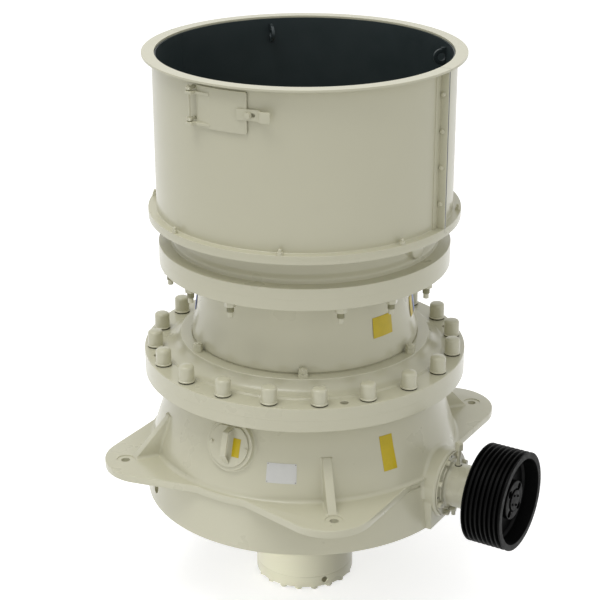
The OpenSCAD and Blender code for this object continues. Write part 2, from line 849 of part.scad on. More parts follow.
shell_in_over = 60;
shell_in_step = 20;
shell_in_drop = 90;
shell_in_r = bowl_foot_r + shell_in_over;
upper_wall_h = 234;
upper_wall_z = plate_top_z + upper_wall_h;
SHELL_IN = [
    [skirt_foot_r - shell_wall_t, -skirt_depth], [seat_r - shell_wall_t, 0],
    [shell_r(upper_wall_z) - shell_wall_t, upper_wall_z],
    [shell_in_r + shell_in_step, main_joint_z - shell_in_drop], [shell_in_r, main_joint_z]
];

module shell_inside(shrink = 0) {
    turned(concat(
        [[0, -skirt_depth - over], [skirt_foot_r - shell_wall_t - shrink, -skirt_depth - over]],
        grown(SHELL_IN, -shrink),
        [[shell_in_r - shrink, main_joint_z + over], [0, main_joint_z + over]]
    ));
}

tunnel_bore_r = 150;
tunnel_bevel = 7;
tunnel_bevel_len = 12;
tunnel_recess = 12;
flange_play = 1;
keel_half_w = 190;
keel_over = 11;
skirt_hole_angle = -128.5;
skirt_hole_z = -150;
cover_proud = 24;
cover_pad_depth = 70;
cover_top_cut = 104;

// Places its children on the inspection cover's pad, with +X out of it and +Z up its slope
module at_cover() {
    rotate([0, 0, cover_angle])
        translate([shell_r(cover_z) + cover_proud, 0, cover_z]) rotate([0, -cover_tilt, 0]) children();
}

module bottom_shell() {
    boss_root = bowl_foot_r;
    boss_bevel_x = tunnel_face_x - tunnel_bevel_len;
    color("#bbb9a4")
    difference() {
        union() {
            turned(concat(
                [[0, -skirt_depth]], SKIRT_LINE, SHELL_LINE,
                flange_edge(main_flange_r, flange_low_z, main_joint_z), [[0, main_joint_z]]
            ));
            translate([boss_root, 0, pinion_z])
                along_x() cylinder(r = tunnel_boss_r, h = boss_bevel_x - boss_root);
            translate([boss_bevel_x, 0, pinion_z])
                along_x()
                    cylinder(r1 = tunnel_boss_r, r2 = tunnel_boss_r - tunnel_bevel, h = tunnel_bevel_len);
            translate([boss_root, -keel_half_w, -skirt_depth])
                cube([skirt_foot_r + keel_over - boss_root, 2 * keel_half_w, skirt_depth + pinion_z]);
            at_cover()
                translate([-cover_pad_depth, 0, 0]) along_x() cylinder(r = cover_pad_r, h = cover_pad_depth);
        }
        shell_inside();
        rotate([0, 0, skirt_hole_angle])
            translate([shell_in_r, 0, skirt_hole_z])
                along_x() cylinder(r = skirt_hole_r, h = skirt_foot_r - shell_in_r + over, $fn = 64);
        translate([hub_r, 0, pinion_z]) along_x() cylinder(r = tunnel_bore_r, h = tunnel_face_x - hub_r);
        translate([tunnel_face_x - tunnel_recess, 0, pinion_z])
            along_x() cylinder(r = housing_flange_r + flange_play, h = tunnel_recess + over);
    }
}

arm_t = 90;
arm_low_z = -130;
arm_high_z = 250;
tunnel_wall = 36;
tunnel_root = 60;
tunnel_out_r = tunnel_bore_r + tunnel_wall;
tunnel_root_x = hub_r - tunnel_root;
// The hub under the head, with three of the four arms that hold it in the shell
module lower_hub() {
    color("#a3a18e")
    intersection() {
        difference() {
            union() {
                turned([
                    [0, hub_low_z], [hub_r, hub_low_z], [hub_r, hub_flare_low], [hub_case_r, hub_flare_top],
                    [hub_case_r, hub_top_z], [0, hub_top_z]
                ]);
                for (a = [90, 180, 270])
                    rotate([0, 0, a])
                        translate([0, -arm_t / 2, arm_low_z])
                            cube([skirt_foot_r, arm_t, arm_high_z - arm_low_z]);
            }
            translate([tunnel_root_x, 0, pinion_z])
                along_x() cylinder(r = tunnel_out_r + fit, h = skirt_foot_r);
        }
        shell_inside(fit);
    }
}

// The tube that carries the pinion housing from the shell wall to the hub
module pinion_tunnel() {
    color("#a3a18e")
    intersection() {
        translate([tunnel_root_x, 0, pinion_z])
            along_x()
                difference() {
                    cylinder(r = tunnel_out_r, h = skirt_foot_r);
                    translate([0, 0, -over]) cylinder(r = tunnel_bore_r, h = skirt_foot_r + 2 * over);
                }
        shell_inside(fit);
    }
}

// ---- mounting plate ----

module plate_outline() {
    cx = plate_half_x - plate_corner_r;
    cy = plate_half_y - plate_corner_r;
    tx = cx - plate_corner_r * sin(end_slant);
    ty = cy + plate_corner_r * cos(end_slant);
    mid_y = ty - tx * tan(end_slant);
    for (sx = [-1, 1], sy = [-1, 1]) translate([sx * cx, sy * cy]) circle(r = plate_corner_r);
    polygon([
        [-plate_half_x, cy], [-plate_half_x, -cy], [-cx, -cy], [-tx, -ty], [0, -mid_y], [tx, -ty], [cx, -cy],
        [plate_half_x, -cy], [plate_half_x, cy], [cx, cy], [tx, ty], [0, mid_y], [-tx, ty], [-cx, cy]
    ]);
    intersection() {
        circle(r = plate_ring_r, $fn = fine);
        square([2 * tx, 2 * plate_ring_r], center = true);
    }
}

module mounting_plate() {
    plate_t = plate_top_z - pad_t;
    color("#c6c4b1")
    difference() {
        union() {
            translate([0, 0, pad_t])
                linear_extrude(plate_t) difference() {
                    plate_outline();
                    circle(r = seat_r + fit, $fn = fine);
                }
            for (sx = [-1, 1], sy = [-1, 1])
                translate([sx * bolt_x, sy * bolt_y, 0]) cylinder(r = pad_r, h = pad_t + over);
        }
        for (sx = [-1, 1], sy = [-1, 1])
            translate([sx * bolt_x, sy * bolt_y, 0]) {
                translate([0, 0, -over]) cylinder(r = bolt_hole_r, h = plate_top_z + 2 * over, $fn = 64);
                translate([0, 0, plate_top_z - spot_face_depth])
                    cylinder(r = spot_face_r, h = spot_face_depth + over, $fn = 64);
            }
    }
}

gusset_rise = 233;
gusset_face = 6;
gusset_end = 4;
gusset_root = 60;
gusset_top_z = plate_top_z + gusset_rise;
// An upright rib over each corner
module plate_gussets() {
    root_r = shell_r(gusset_top_z) - gusset_root;
    reach = ear_r - spot_face_r - gusset_end;
    color("#c0bea9")
    for (a = [ear_angle, 180 - ear_angle, 180 + ear_angle, -ear_angle])
        rotate([0, 0, a])
            difference() {
                upright_plate([
                    [root_r, plate_top_z], [reach, plate_top_z], [reach, plate_top_z + gusset_face],
                    [shell_r(gusset_top_z) + gusset_face, gusset_top_z], [root_r, gusset_top_z]
                ], gusset_t);
                turned(concat([[0, 0]], grown(SHELL_LINE, fit), [[0, flange_low_z]]));
            }
}

// ---- inspection cover ----

module inspection_cover() {
    color("#c1bfaa")
    at_cover()
        intersection() {
            along_x() cylinder(r = cover_r, h = cover_t);
            translate([-over, -cover_r, -cover_r])
                cube([cover_t + 2 * over, 2 * cover_r, cover_r + cover_top_cut]);
        }
}

handle_w = 34;
handle_t = 6;
handle_foot = 99;
handle_top = 76;
handle_low = 52;
module inspection_handle() {
    color("#c8c6b3")
    at_cover()
        translate([cover_t, 0, 0])
            upright_plate([
                [0, -handle_foot], [handle_reach, -handle_low], [handle_reach, handle_top], [0, handle_foot],
                [0, handle_foot - handle_t], [handle_reach - handle_t, handle_top - handle_t / 2],
                [handle_reach - handle_t, handle_t / 2 - handle_low], [0, handle_t - handle_foot]
            ], handle_w);
}

// ---- pinion drive ----

housing_root = 50;
housing_flange_t = 20;
housing_fillet = 5;
housing_edge = 4;
housing_in_x = hub_r - housing_root;
housing_nose_x = tunnel_face_x + housing_nose;
housing_face_x = tunnel_face_x - tunnel_recess + housing_flange_t;
module pinion_housing() {
    barrel = tunnel_bore_r - fit;
    seat_x = tunnel_face_x - tunnel_recess;
    color("#bcbaa5")
    translate([0, 0, pinion_z])
        along_x()
            rotate_extrude()
                polygon(concat(
                    [[shaft_r + fit, housing_in_x], [barrel, housing_in_x], [barrel, seat_x]],
                    [[housing_flange_r, seat_x], [housing_flange_r, housing_face_x - edge_r]],
                    [[housing_flange_r - edge_r, housing_face_x]],
                    [[housing_r + housing_fillet, housing_face_x]],
                    [[housing_r, housing_face_x + housing_fillet]],
                    [[housing_r, housing_nose_x - housing_edge]],
                    [[housing_r - housing_edge, housing_nose_x], [shaft_r + fit, housing_nose_x]]
                ));
}

breather_out = 45;
breather_pipe_r = 13.5;
breather_pipe_h = 96;
breather_cap_r = 23.5;
breather_hex_h = 39;
breather_top_h = 6;
breather_top_in = 4;
breather_root = 3;
module housing_breather() {
    color("#bcbaa5")
    translate([tunnel_face_x + breather_out, 0, pinion_z])
        difference() {
            translate([0, 0, housing_r]) {
                translate([0, 0, -breather_root])
                    cylinder(r = breather_pipe_r, h = breather_pipe_h + breather_root, $fn = 48);
                translate([0, 0, breather_pipe_h]) cylinder(r = breather_cap_r, h = breather_hex_h, $fn = 6);
                translate([0, 0, breather_pipe_h + breather_hex_h])
                    cylinder(r1 = breather_cap_r - breather_top_in, r2 = breather_cap_r - 2 * breather_top_in,
                        h = breather_top_h, $fn = 48);
            }
            along_x() cylinder(r = housing_r + fit, h = housing_nose, center = true);
        }
}

drain_y = -28;
drain_r = 13;
drain_len = 44;
drain_drop = 16;
drain_out = 30;
drain_fall = 34;
module housing_drain() {
    color("#bcbaa5")
    translate([housing_face_x, drain_y, pinion_z - housing_r - drain_drop]) {
        along_x() cylinder(r = drain_r, h = drain_len, $fn = 48);
        translate([drain_out, 0, -drain_fall]) cylinder(r = drain_r, h = drain_fall, $fn = 6);
    }
}

pulley_side = 4;       // width of the plain edge on each side of the grooves
pulley_w = groove_count * groove_pitch + 2 * pulley_side;
pulley_back_x = pulley_face_x - pulley_w;
rim_wall = 35;
rim_taper = 6;
pulley_edge = 2;
web_t = 34;
web_back = 92;
web_fillet = 12;
hub_out_r = 104;
hub_back = 30;
bush_r = 88;
bush_back = 24;
bush_flange_r = 110;
bush_flange_t = 30;
bush_front = 37;
groove_top_half = 10.5;
groove_low_half = 5;
rim_in_r = pulley_r - rim_wall;
web_x = pulley_face_x - web_back;
bush_face_x = pulley_face_x - bush_front;
bush_seat_x = bush_face_x - bush_flange_t;
web_back_x = web_x - web_t;
function groove(i) =
    let (x = pulley_back_x + pulley_side + groove_pitch * (i + 0.5))
    [
        [pulley_r, x - groove_top_half], [pulley_r - groove_depth, x - groove_low_half],
        [pulley_r - groove_depth, x + groove_low_half], [pulley_r, x + groove_top_half]
    ];

module pinion_shaft() {
    shaft_in_x = housing_in_x + housing_edge;
    color("#3a3c3d")
    translate([shaft_in_x, 0, pinion_z])
        along_x() cylinder(r = shaft_r, h = bush_face_x - shaft_in_x, $fn = 64);
}

module pulley() {
    color("#1b1c1c")
    translate([0, 0, pinion_z])
        along_x()
            rotate_extrude($fn = fine)
                polygon(concat(
                    [[rim_in_r, pulley_back_x], [pulley_r - pulley_edge, pulley_back_x]],
                    [[pulley_r, pulley_back_x + pulley_edge]],
                    [for (i = [0 : groove_count - 1]) each groove(i)],
                    [[pulley_r, pulley_face_x - pulley_edge], [pulley_r - pulley_edge, pulley_face_x]],
                    [[rim_in_r, pulley_face_x], [rim_in_r - rim_taper, web_x + web_fillet]],
                    [[rim_in_r - rim_taper - web_fillet, web_x], [hub_out_r + web_fillet, web_x]],
                    [[hub_out_r, web_x + web_fillet], [hub_out_r, bush_seat_x], [bush_r, bush_seat_x]],
                    [[bush_r, web_back_x - hub_back], [hub_out_r, web_back_x - hub_back]],
                    [[hub_out_r, web_back_x], [rim_in_r - web_fillet, web_back_x]]
                ));
}

bush_hole_count = 4;
bush_hole_r = 21;
bush_hole_edge = 26;
bush_hole_h = 25;
bush_groove_in = 58;
bush_groove_out = 66;
bush_groove_h = 15;
bush_plate_t = 6;
module pulley_bush() {
    bore_r = shaft_r + fit / 2;
    back_x = web_back_x - bush_back;
    color("#232525")
    translate([0, 0, pinion_z])
        along_x() {
            difference() {
                rotate_extrude()
                    polygon([
                        [bore_r, back_x], [bush_r - fit, back_x], [bush_r - fit, bush_seat_x],
                        [bush_flange_r, bush_seat_x], [bush_flange_r, bush_face_x - edge_r],
                        [bush_flange_r - edge_r, bush_face_x],
                        [bush_groove_out, bush_face_x], [bush_groove_out, bush_face_x - bush_groove_h],
                        [bush_groove_in, bush_face_x - bush_groove_h], [bush_groove_in, bush_face_x],
                        [bore_r, bush_face_x]
                    ]);
                ring_of(bush_hole_count, bush_flange_r - bush_hole_edge, 45)
                    translate([0, 0, bush_face_x - bush_hole_h])
                        cylinder(r = bush_hole_r, h = bush_hole_h + over, $fn = 48);
            }
            translate([0, 0, bush_face_x]) cylinder(r = bush_groove_in, h = bush_plate_t);
        }
}

// ---- hydraulic cylinder ----

cylinder_seam_z = -cylinder_foot + cylinder_cover_t;
module hydraulic_cylinder() {
    color("#c0bea9")
    turned([[0, cylinder_seam_z], [cylinder_r, cylinder_seam_z], [cylinder_r, hub_low_z], [0, hub_low_z]]);
}

seam_bevel = 2;
oil_port_angle = -35.1;
oil_port_up = 39;
oil_port_h = 60;
module cylinder_cover() {
    color("#c0bea9")
    difference() {
        turned([
            [0, -cylinder_foot], [cylinder_r - edge_r, -cylinder_foot], [cylinder_r, -cylinder_foot + edge_r],
            [cylinder_r, cylinder_seam_z - seam_bevel], [cylinder_r - seam_bevel, cylinder_seam_z],
            [0, cylinder_seam_z]
        ]);
        rotate([0, 0, oil_port_angle])
            translate([cylinder_r - oil_port_h, 0, -cylinder_foot + oil_port_up])
                along_x() cylinder(r = oil_port_r, h = oil_port_h + over, $fn = 64);
    }
}

cover_bolt_edge = 24;
cover_bolt_first = 13;
cover_bolt_r = 23;
cover_bolt_h = 18;
module cylinder_bolts() {
    color("#b5b39e")
    ring_of(cover_bolt_count, cylinder_r - cover_bolt_edge, cover_bolt_first)
        translate([0, 0, -cylinder_foot - cover_bolt_h])
            cylinder(r = cover_bolt_r, h = cover_bolt_h, $fn = 6);
}

// ---- plates ----

sheet_t = 1.5;
nameplate_low = 99;
nameplate_high = 202;
shell_yellow_low = 112;
shell_yellow_high = 297;
barrel_plate_low = 142;
barrel_plate_high = 256;
nameplate_span = [-73.4, -62.2];         // each span is the two angles that a plate lies between
shell_yellow_span = [-28.9, -23];
barrel_yellow_spans = [[-22.3, -8.7], [13.5, 19.5]];
barrel_blue_spans = [[20.5, 28], [-149, -141.5]];
cover_plate_w = 46;
cover_plate_h = 103;
cover_plate_off = 50;
cover_plate_drop = 5;

// A thin curved plate between two angles that follows a casting's outline, given from its foot up
module curved_plate(span, line) {
    last = len(line) - 1;
    turned_sector(concat(
        [for (p = line) [p[0] + fit + sheet_t, p[1]]],
        [for (k = [0:last]) [line[last - k][0] + fit, line[last - k][1]]]
    ), span[0], span[1] - span[0]);
}

// A plate on the bottom shell, over the mounting plate
module shell_plate(span, low, high) {
    z0 = plate_top_z + low;
    z1 = plate_top_z + high;
    between = [for (p = SHELL_LINE) if (p[1] > z0 && p[1] < z1) p];
    curved_plate(span, concat([[shell_r(z0), z0]], between, [[shell_r(z1), z1]]));
}

// A plate on the top shell's barrel, over the shoulder
module barrel_plate(span) {
    z0 = step_top_z + barrel_plate_low;
    z1 = step_top_z + barrel_plate_high;
    curved_plate(span, [[barrel_at(z0), z0], [barrel_at(z1), z1]]);
}

module nameplate() {
    color("#e4e4e2") shell_plate(nameplate_span, nameplate_low, nameplate_high);
}

module yellow_plates() {
    color("#e2b51b") {
        shell_plate(shell_yellow_span, shell_yellow_low, shell_yellow_high);
        for (span = barrel_yellow_spans) barrel_plate(span);
        at_cover()
            translate([cover_t, cover_plate_off - cover_plate_w / 2, -cover_plate_drop - cover_plate_h / 2])
                cube([sheet_t, cover_plate_w, cover_plate_h]);
    }
}

module blue_plates() {
    color("#2f4fa0")
        for (span = barrel_blue_spans) barrel_plate(span);
}

hopper_wall_front();
hopper_wall_back();
hopper_rim_front();
hopper_rim_back();
hopper_foot_front();
hopper_foot_back();
hopper_seam_bars();
hopper_lining_front();
hopper_lining_back();
hopper_lifting_lugs();
hatch_hinge_lugs();
hatch_hinge_pin();
hatch_door();
hatch_seal();
hatch_strap();
hatch_strap_bolt();
spider_ring();
spider();
spider_cap();
spider_arm_shields();
top_shell();
collar_studs();
concave_ring();
mantle();
head_and_shaft();
step_nuts();
main_flange_caps();
bottom_shell();
lower_hub();
pinion_tunnel();
mounting_plate();
plate_gussets();
inspection_cover();
inspection_handle();
pinion_housing();
housing_breather();
housing_drain();
pinion_shaft();
pulley();
pulley_bush();
hydraulic_cylinder();
cylinder_cover();
cylinder_bolts();
nameplate();
yellow_plates();
blue_plates();
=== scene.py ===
"""Cone crusher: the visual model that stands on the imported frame."""
import json
import math

import bmesh
import bpy
from mathutils import Matrix, Vector


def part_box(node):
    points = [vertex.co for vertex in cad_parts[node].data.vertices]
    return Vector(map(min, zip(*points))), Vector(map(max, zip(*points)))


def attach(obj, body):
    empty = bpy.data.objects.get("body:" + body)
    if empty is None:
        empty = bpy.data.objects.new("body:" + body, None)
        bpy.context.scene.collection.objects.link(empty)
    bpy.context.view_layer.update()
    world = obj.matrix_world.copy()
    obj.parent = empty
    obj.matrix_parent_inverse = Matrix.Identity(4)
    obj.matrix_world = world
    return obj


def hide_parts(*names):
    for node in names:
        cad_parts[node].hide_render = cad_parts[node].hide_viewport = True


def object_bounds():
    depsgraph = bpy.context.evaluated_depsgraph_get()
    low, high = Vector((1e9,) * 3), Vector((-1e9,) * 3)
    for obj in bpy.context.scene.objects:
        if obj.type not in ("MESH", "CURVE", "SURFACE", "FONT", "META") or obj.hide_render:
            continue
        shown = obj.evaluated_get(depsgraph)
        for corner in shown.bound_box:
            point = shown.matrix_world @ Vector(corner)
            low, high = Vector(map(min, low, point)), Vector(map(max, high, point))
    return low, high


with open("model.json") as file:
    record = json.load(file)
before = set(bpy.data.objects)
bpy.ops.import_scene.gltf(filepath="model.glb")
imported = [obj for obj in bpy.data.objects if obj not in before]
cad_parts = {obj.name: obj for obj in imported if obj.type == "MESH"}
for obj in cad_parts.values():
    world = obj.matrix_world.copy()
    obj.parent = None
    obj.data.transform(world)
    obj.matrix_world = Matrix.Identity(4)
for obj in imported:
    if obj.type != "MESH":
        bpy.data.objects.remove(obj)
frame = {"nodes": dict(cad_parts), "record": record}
cad_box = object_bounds()

bl_info = {
    "name": "Cone crusher",
    "version": (1, 0, 0),
    "blender": (4, 5, 0),
    "location": "View3D > Sidebar > Crusher",
    "description": "Builds a painted single-cylinder cone crusher on its packed frame",
    "category": "Object",
}

MM = 0.001
TAU = 2 * math.pi

# Heights and radii of the castings, read from the frame's own boxes
Z_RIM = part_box("hopper_rim_front")[1].z
Z_WALL_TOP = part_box("hopper_wall_front")[1].z
Z_FOOT_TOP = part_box("hopper_wall_front")[0].z
Z_RING_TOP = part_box("spider_ring")[1].z
Z_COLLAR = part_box("top_shell")[1].z
Z_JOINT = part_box("top_shell")[0].z
Z_PLATE_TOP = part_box("mounting_plate")[1].z
Z_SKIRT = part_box("bottom_shell")[0].z
R_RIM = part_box("hopper_rim_front")[1].x
R_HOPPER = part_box("hopper_wall_front")[1].x
R_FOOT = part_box("hopper_foot_front")[1].x
R_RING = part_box("spider_ring")[1].x
R_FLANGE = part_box("top_shell")[1].x
PULLEY_LOW, PULLEY_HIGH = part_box("pulley")
Z_PINION = (PULLEY_LOW.z + PULLEY_HIGH.z) / 2

# Flanges and steps, by their thicknesses
FLANGE_LOW = Z_JOINT - 65 * MM
FLANGE_TOP = Z_JOINT + 68 * MM
STEP_TOP = FLANGE_TOP + 80 * MM
COLLAR_LOW = Z_COLLAR - 60 * MM
COLLAR_TOP = Z_COLLAR + 62 * MM
RING_LOW = Z_RING_TOP - 23 * MM
PLATE_LOW = 8 * MM
R_COLLAR = 808 * MM
R_SEAT = 877 * MM                # the bottom shell where it stands in the mounting plate
R_SKIRT = R_SEAT + 37 * MM
R_CAPS = 845 * MM                # circle of the main flange's caps and tapped holes
EAR_X = 675 * MM                 # place of a mounting hole
EAR_Y = 833 * MM
EAR_ANGLE = math.degrees(math.atan2(EAR_Y, EAR_X))
TIGHT = 0.5 * MM                 # rounding where two castings meet face to face


# ---------------------------------------------------------------- meshes

def flat(points):
    """Profile points given in millimetres, in metres."""
    return [tuple(v * MM for v in point) for point in points]


def in_mm(*lengths):
    """Lengths in millimetres, for a profile."""
    return [v / MM for v in lengths]


def polar(r, angle):
    """Point at a radius and an angle in radians."""
    return r * math.cos(angle), r * math.sin(angle)


def arc(cx, cy, r, a0, a1, steps):
    """Points of an arc between two angles in degrees."""
    turns = [math.radians(a0 + (a1 - a0) * i / steps) for i in range(steps + 1)]
    return [(cx + r * math.cos(a), cy + r * math.sin(a)) for a in turns]


def linked(name, data):
    """A new object in the scene for a mesh, a lamp or a camera."""
    obj = bpy.data.objects.new(name, data)
    bpy.context.scene.collection.objects.link(obj)
    return obj


def smooth(mesh, sharp=32.0):
    """Smooth faces that break at corners sharper than an angle in degrees."""
    mesh.shade_smooth()
    mesh.set_sharp_from_angle(angle=math.radians(sharp))


def skin(verts, faces):
    """A bmesh with its doubles merged and its faces outwards."""
    draft = bpy.data.meshes.new("draft")
    draft.from_pydata([tuple(v) for v in verts], [], faces)
    bm = bmesh.new()
    bm.from_mesh(draft)
    bpy.data.meshes.remove(draft)
    bmesh.ops.remove_doubles(bm, verts=bm.verts, dist=1e-6)
    bmesh.ops.recalc_face_normals(bm, faces=bm.faces)
    return bm


def dress(name, bm, material, sharp):
    """A named piece at the origin from a bmesh, in one finish."""
    mesh = bpy.data.meshes.new(name)
    bm.to_mesh(mesh)
    bm.free()
    mesh.materials.append(bpy.data.materials[material])
    smooth(mesh, sharp)
    return linked(name, mesh)


def make(name, verts, faces, material, sharp=32.0):
    """A named piece from its vertices and faces."""
    return dress(name, skin(verts, faces), material, sharp)


def rounded(points, radius=3 * MM, steps=4, guard=3 * MM, straight=14.0):
    """A closed outline with its corners rounded, and a guard point beside each rounding.

    A point's third value, where it has one, is its own rounding."""
    out = []
    n = len(points)
    for i in range(n):
        p = Vector(points[i][:2])
        a = Vector(points[i - 1][:2]) - p
        b = Vector(points[(i + 1) % n][:2]) - p
        own = points[i][2] if len(points[i]) > 2 else radius
        la, lb = a.length, b.length
        if la < 1e-7 or lb < 1e-7:
            continue
        if math.degrees(a.angle(-b)) < straight or p.x < 1e-6:
            out.append(tuple(p))
            continue
        cut = min(own / math.tan(a.angle(b) / 2), 0.42 * la, 0.42 * lb)
        a.normalize()
        b.normalize()
        start, end = p + a * cut, p + b * cut
        if la > 4 * cut + 2 * guard:
            out.append(tuple(start + a * guard))
        out += between(start, p, end, steps)
        if lb > 4 * cut + 2 * guard:
            out.append(tuple(end + b * guard))
    return out


def between(start, control, end, steps):
    """Points of a curve from start to end that leans towards its control point."""
    points = []
    for s in range(steps + 1):
        t = s / steps
        points.append(tuple(start * (1 - t) ** 2 + control * 2 * t * (1 - t) + end * t * t))
    return points


def lathe(profile, segs=192, a0=0.0, a1=360.0):
    """Vertices and faces of a closed profile turned about Z between two angles in degrees."""
    full = abs(a1 - a0) >= 359.999
    rings = segs if full else segs + 1
    n = len(profile)
    verts, faces = [], []
    for i in range(rings):
        turn = math.radians(a0 + (a1 - a0) * i / segs)
        verts += [(*polar(r, turn), z) for r, z in profile]
    for i in range(segs):
        k = ((i + 1) % rings) * n
        for j in range(n):
            m = (j + 1) % n
            if profile[j][0] < 1e-7 and profile[m][0] < 1e-7:
                continue
            faces.append((i * n + j, k + j, k + m, i * n + m))
    if not full:
        faces.append(tuple(range(n)))
        faces.append(tuple(reversed(range(segs * n, segs * n + n))))
    return verts, faces


def turned(name, profile, material, segs=192, radius=3 * MM, steps=4, a0=0.0, a1=360.0):
    """A turned piece with rounded corners."""
    return make(name, *lathe(rounded(profile, radius, steps), segs, a0, a1), material)


def disc(name, r, z0, z1, material, segs=48, edge=1.0, inner=0.0):
    """A turned disc, or a ring where it has an inner radius, in millimetres."""
    return turned(name, flat([(inner, z0), (r, z0), (r, z1), (inner, z1)]), material, segs, edge * MM)


def join(name, pieces):
    """One object out of several, which keep their finishes."""
    bm = bmesh.new()
    finishes = []
    for piece in pieces:
        start = len(bm.faces)
        bm.from_mesh(piece.data)
        bm.faces.ensure_lookup_table()
        own = piece.data.materials[0]
        if own not in finishes:
            finishes.append(own)
        for face in bm.faces[start:]:
            face.material_index = finishes.index(own)
        bpy.data.objects.remove(piece)
    mesh = bpy.data.meshes.new(name)
    bm.to_mesh(mesh)
    bm.free()
    for finish in finishes:
        mesh.materials.append(finish)
    return linked(name, mesh)


def moved(obj, matrix):
    """The piece with a matrix put into its mesh."""
    obj.data.transform(matrix)
    if matrix.determinant() < 0:
        obj.data.flip_normals()
    obj.data.update()
    return obj


def shift(x, y, z):
    return Matrix.Translation((x, y, z))


def turn_z(angle):
    return Matrix.Rotation(math.radians(angle), 4, "Z")


UPSIDE_DOWN = Matrix.Rotation(math.pi, 4, "X")
LAID_ON_X = Matrix.Rotation(math.pi / 2, 4, "Y")


def along_x(obj):
    """Turns a piece drawn along +Z so that it points along +X, and lifts it onto the pinion's axis."""
    return moved(obj, shift(0, 0, Z_PINION) @ LAID_ON_X)


def round_edges(bm, edges, width, segments=3):
    bmesh.ops.bevel(bm, geom=edges, offset=width, segments=segments, profile=0.5, affect="EDGES",
                    clamp_overlap=True)


def edges_bent(bm, low, high=math.inf):
    """The edges whose two faces meet at an angle between two limits, in radians."""
    return [e for e in bm.edges if len(e.link_faces) == 2 and low < e.calc_face_angle(0) < high]


def bevelled(name, verts, faces, material, width):
    """A solid with its sharp edges rounded."""
    bm = skin(verts, faces)
    round_edges(bm, edges_bent(bm, math.radians(35)), width)
    return dress(name, bm, material, 40)


def prism(outline, z0, z1):
    """Vertices and faces of a flat outline raised between two heights."""
    n = len(outline)
    verts = [(x, y, z0) for x, y in outline] + [(x, y, z1) for x, y in outline]
    faces = [(i, (i + 1) % n, n + (i + 1) % n, n + i) for i in range(n)]
    faces += [tuple(reversed(range(n))), tuple(range(n, 2 * n))]
    return verts, faces


def block(name, low, high, material, width):
    """A block between two corners with its edges rounded."""
    outline = [(low[0], low[1]), (high[0], low[1]), (high[0], high[1]), (low[0], high[1])]
    return bevelled(name, *prism(outline, low[2], high[2]), material, width)


def strip(name, sections, material, closed=False, sharp=50.0):
    """A closed skin through a row of like cross-sections, capped where the row is open."""
    n = len(sections[0])
    count = len(sections)
    verts = [p for s in sections for p in s]
    faces = []
    for i in range(count if closed else count - 1):
        k = ((i + 1) % count) * n
        for j in range(n):
            m = (j + 1) % n
            faces.append((i * n + j, k + j, k + m, i * n + m))
    if not closed:
        faces += [tuple(range(n)), tuple(reversed(range((count - 1) * n, count * n)))]
    return make(name, verts, faces, material, sharp)


HOLLOW = 0.12                    # how far a fillet's curve stands out from its corner


def seam_section(corner, a, b, depth, bulge=HOLLOW, steps=5):
    """Cross-section of a fillet or a weld: from a to b, hollow if bulge is 0 and full if it is 1."""
    corner, a, b = Vector(corner), Vector(a), Vector(b)
    inward = (corner - (a + b) / 2).normalized() * depth
    curve = between(a, corner.lerp(a + b - corner, bulge), b, steps)
    return curve + [b + inward, corner + inward, a + inward]


def baked(obj):
    """The mesh that an object's modifiers make, as they are taken off."""
    bpy.context.view_layer.update()
    graph = bpy.context.evaluated_depsgraph_get()
    mesh = bpy.data.meshes.new_from_object(obj.evaluated_get(graph), depsgraph=graph)
    obj.modifiers.clear()
    return mesh


def cut_out(obj, cutters):
    """The piece less its cutters."""
    cutter = join("cutter", cutters)
    cut = obj.modifiers.new("cut", "BOOLEAN")
    cut.operation = "DIFFERENCE"
    cut.solver = "EXACT"
    cut.object = cutter
    obj.data = baked(obj)
    bpy.data.objects.remove(cutter)
    smooth(obj.data)
    return obj


def softened(name, node, material, width, bend=0.0, corner=0.0, shape=None):
    """A solid's own shape with its sharp edges rounded, and its bends or its outer corners more so."""
    bm = bmesh.new()
    bm.from_mesh(frame["nodes"][node].data)
    bmesh.ops.remove_doubles(bm, verts=bm.verts, dist=1e-5)
    bmesh.ops.dissolve_limit(bm, angle_limit=math.radians(0.5), verts=bm.verts, edges=bm.edges)
    if shape:
        shape(bm)
    if bend:
        round_edges(bm, edges_bent(bm, 0.2, 1.2), bend, 5)
    if corner:
        round_edges(bm, corner_edges(bm), corner, 6)
    round_edges(bm, edges_bent(bm, math.radians(40)), width)
    return dress(name, bm, material, 40)


def corner_edges(bm):
    """The short edges through the four outer corners of a curved panel."""
    low, high = min(v.co.z for v in bm.verts), max(v.co.z for v in bm.verts)
    found = []
    for edge in bm.edges:
        a, b = edge.verts[0].co, edge.verts[1].co
        level = abs(a.z - b.z) < 1e-5 and min(abs(a.z - low), abs(a.z - high)) < 1e-4
        radial = abs(a.xy.length - b.xy.length) > 0.98 * (a - b).length
        if level and radial and edge.calc_face_angle(0) > 1.2:
            found.append(edge)
    return found


def finish_piece(obj, body, slot, *nodes):
    """Puts a finished piece on its body, and hides the frame's solids that it stands for."""
    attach(obj, body)
    if nodes:
        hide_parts(*nodes)


# ---------------------------------------------------------------- node trees

def feed(tree, node, inputs):
    """Sets each input of a node to a value, or links it to another node's output."""
    for key, value in inputs.items():
        if isinstance(value, bpy.types.NodeSocket):
            tree.links.new(value, node.inputs[key])
        else:
            node.inputs[key].default_value = value


def add(tree, kind, inputs, out=0, **settings):
    """Adds a node with its settings and inputs, and gives one of its outputs."""
    node = tree.nodes.new(kind)
    for key, value in settings.items():
        setattr(node, key, value)
    feed(tree, node, inputs)
    return node.outputs[out] if node.outputs else None


def sums(tree, operation, a, b):
    return add(tree, "ShaderNodeMath", {0: a, 1: b}, operation=operation)


def noise(tree, place, scale, detail, rough):
    inputs = {"Vector": place, "Scale": scale, "Detail": detail, "Roughness": rough}
    return add(tree, "ShaderNodeTexNoise", inputs, "Fac")


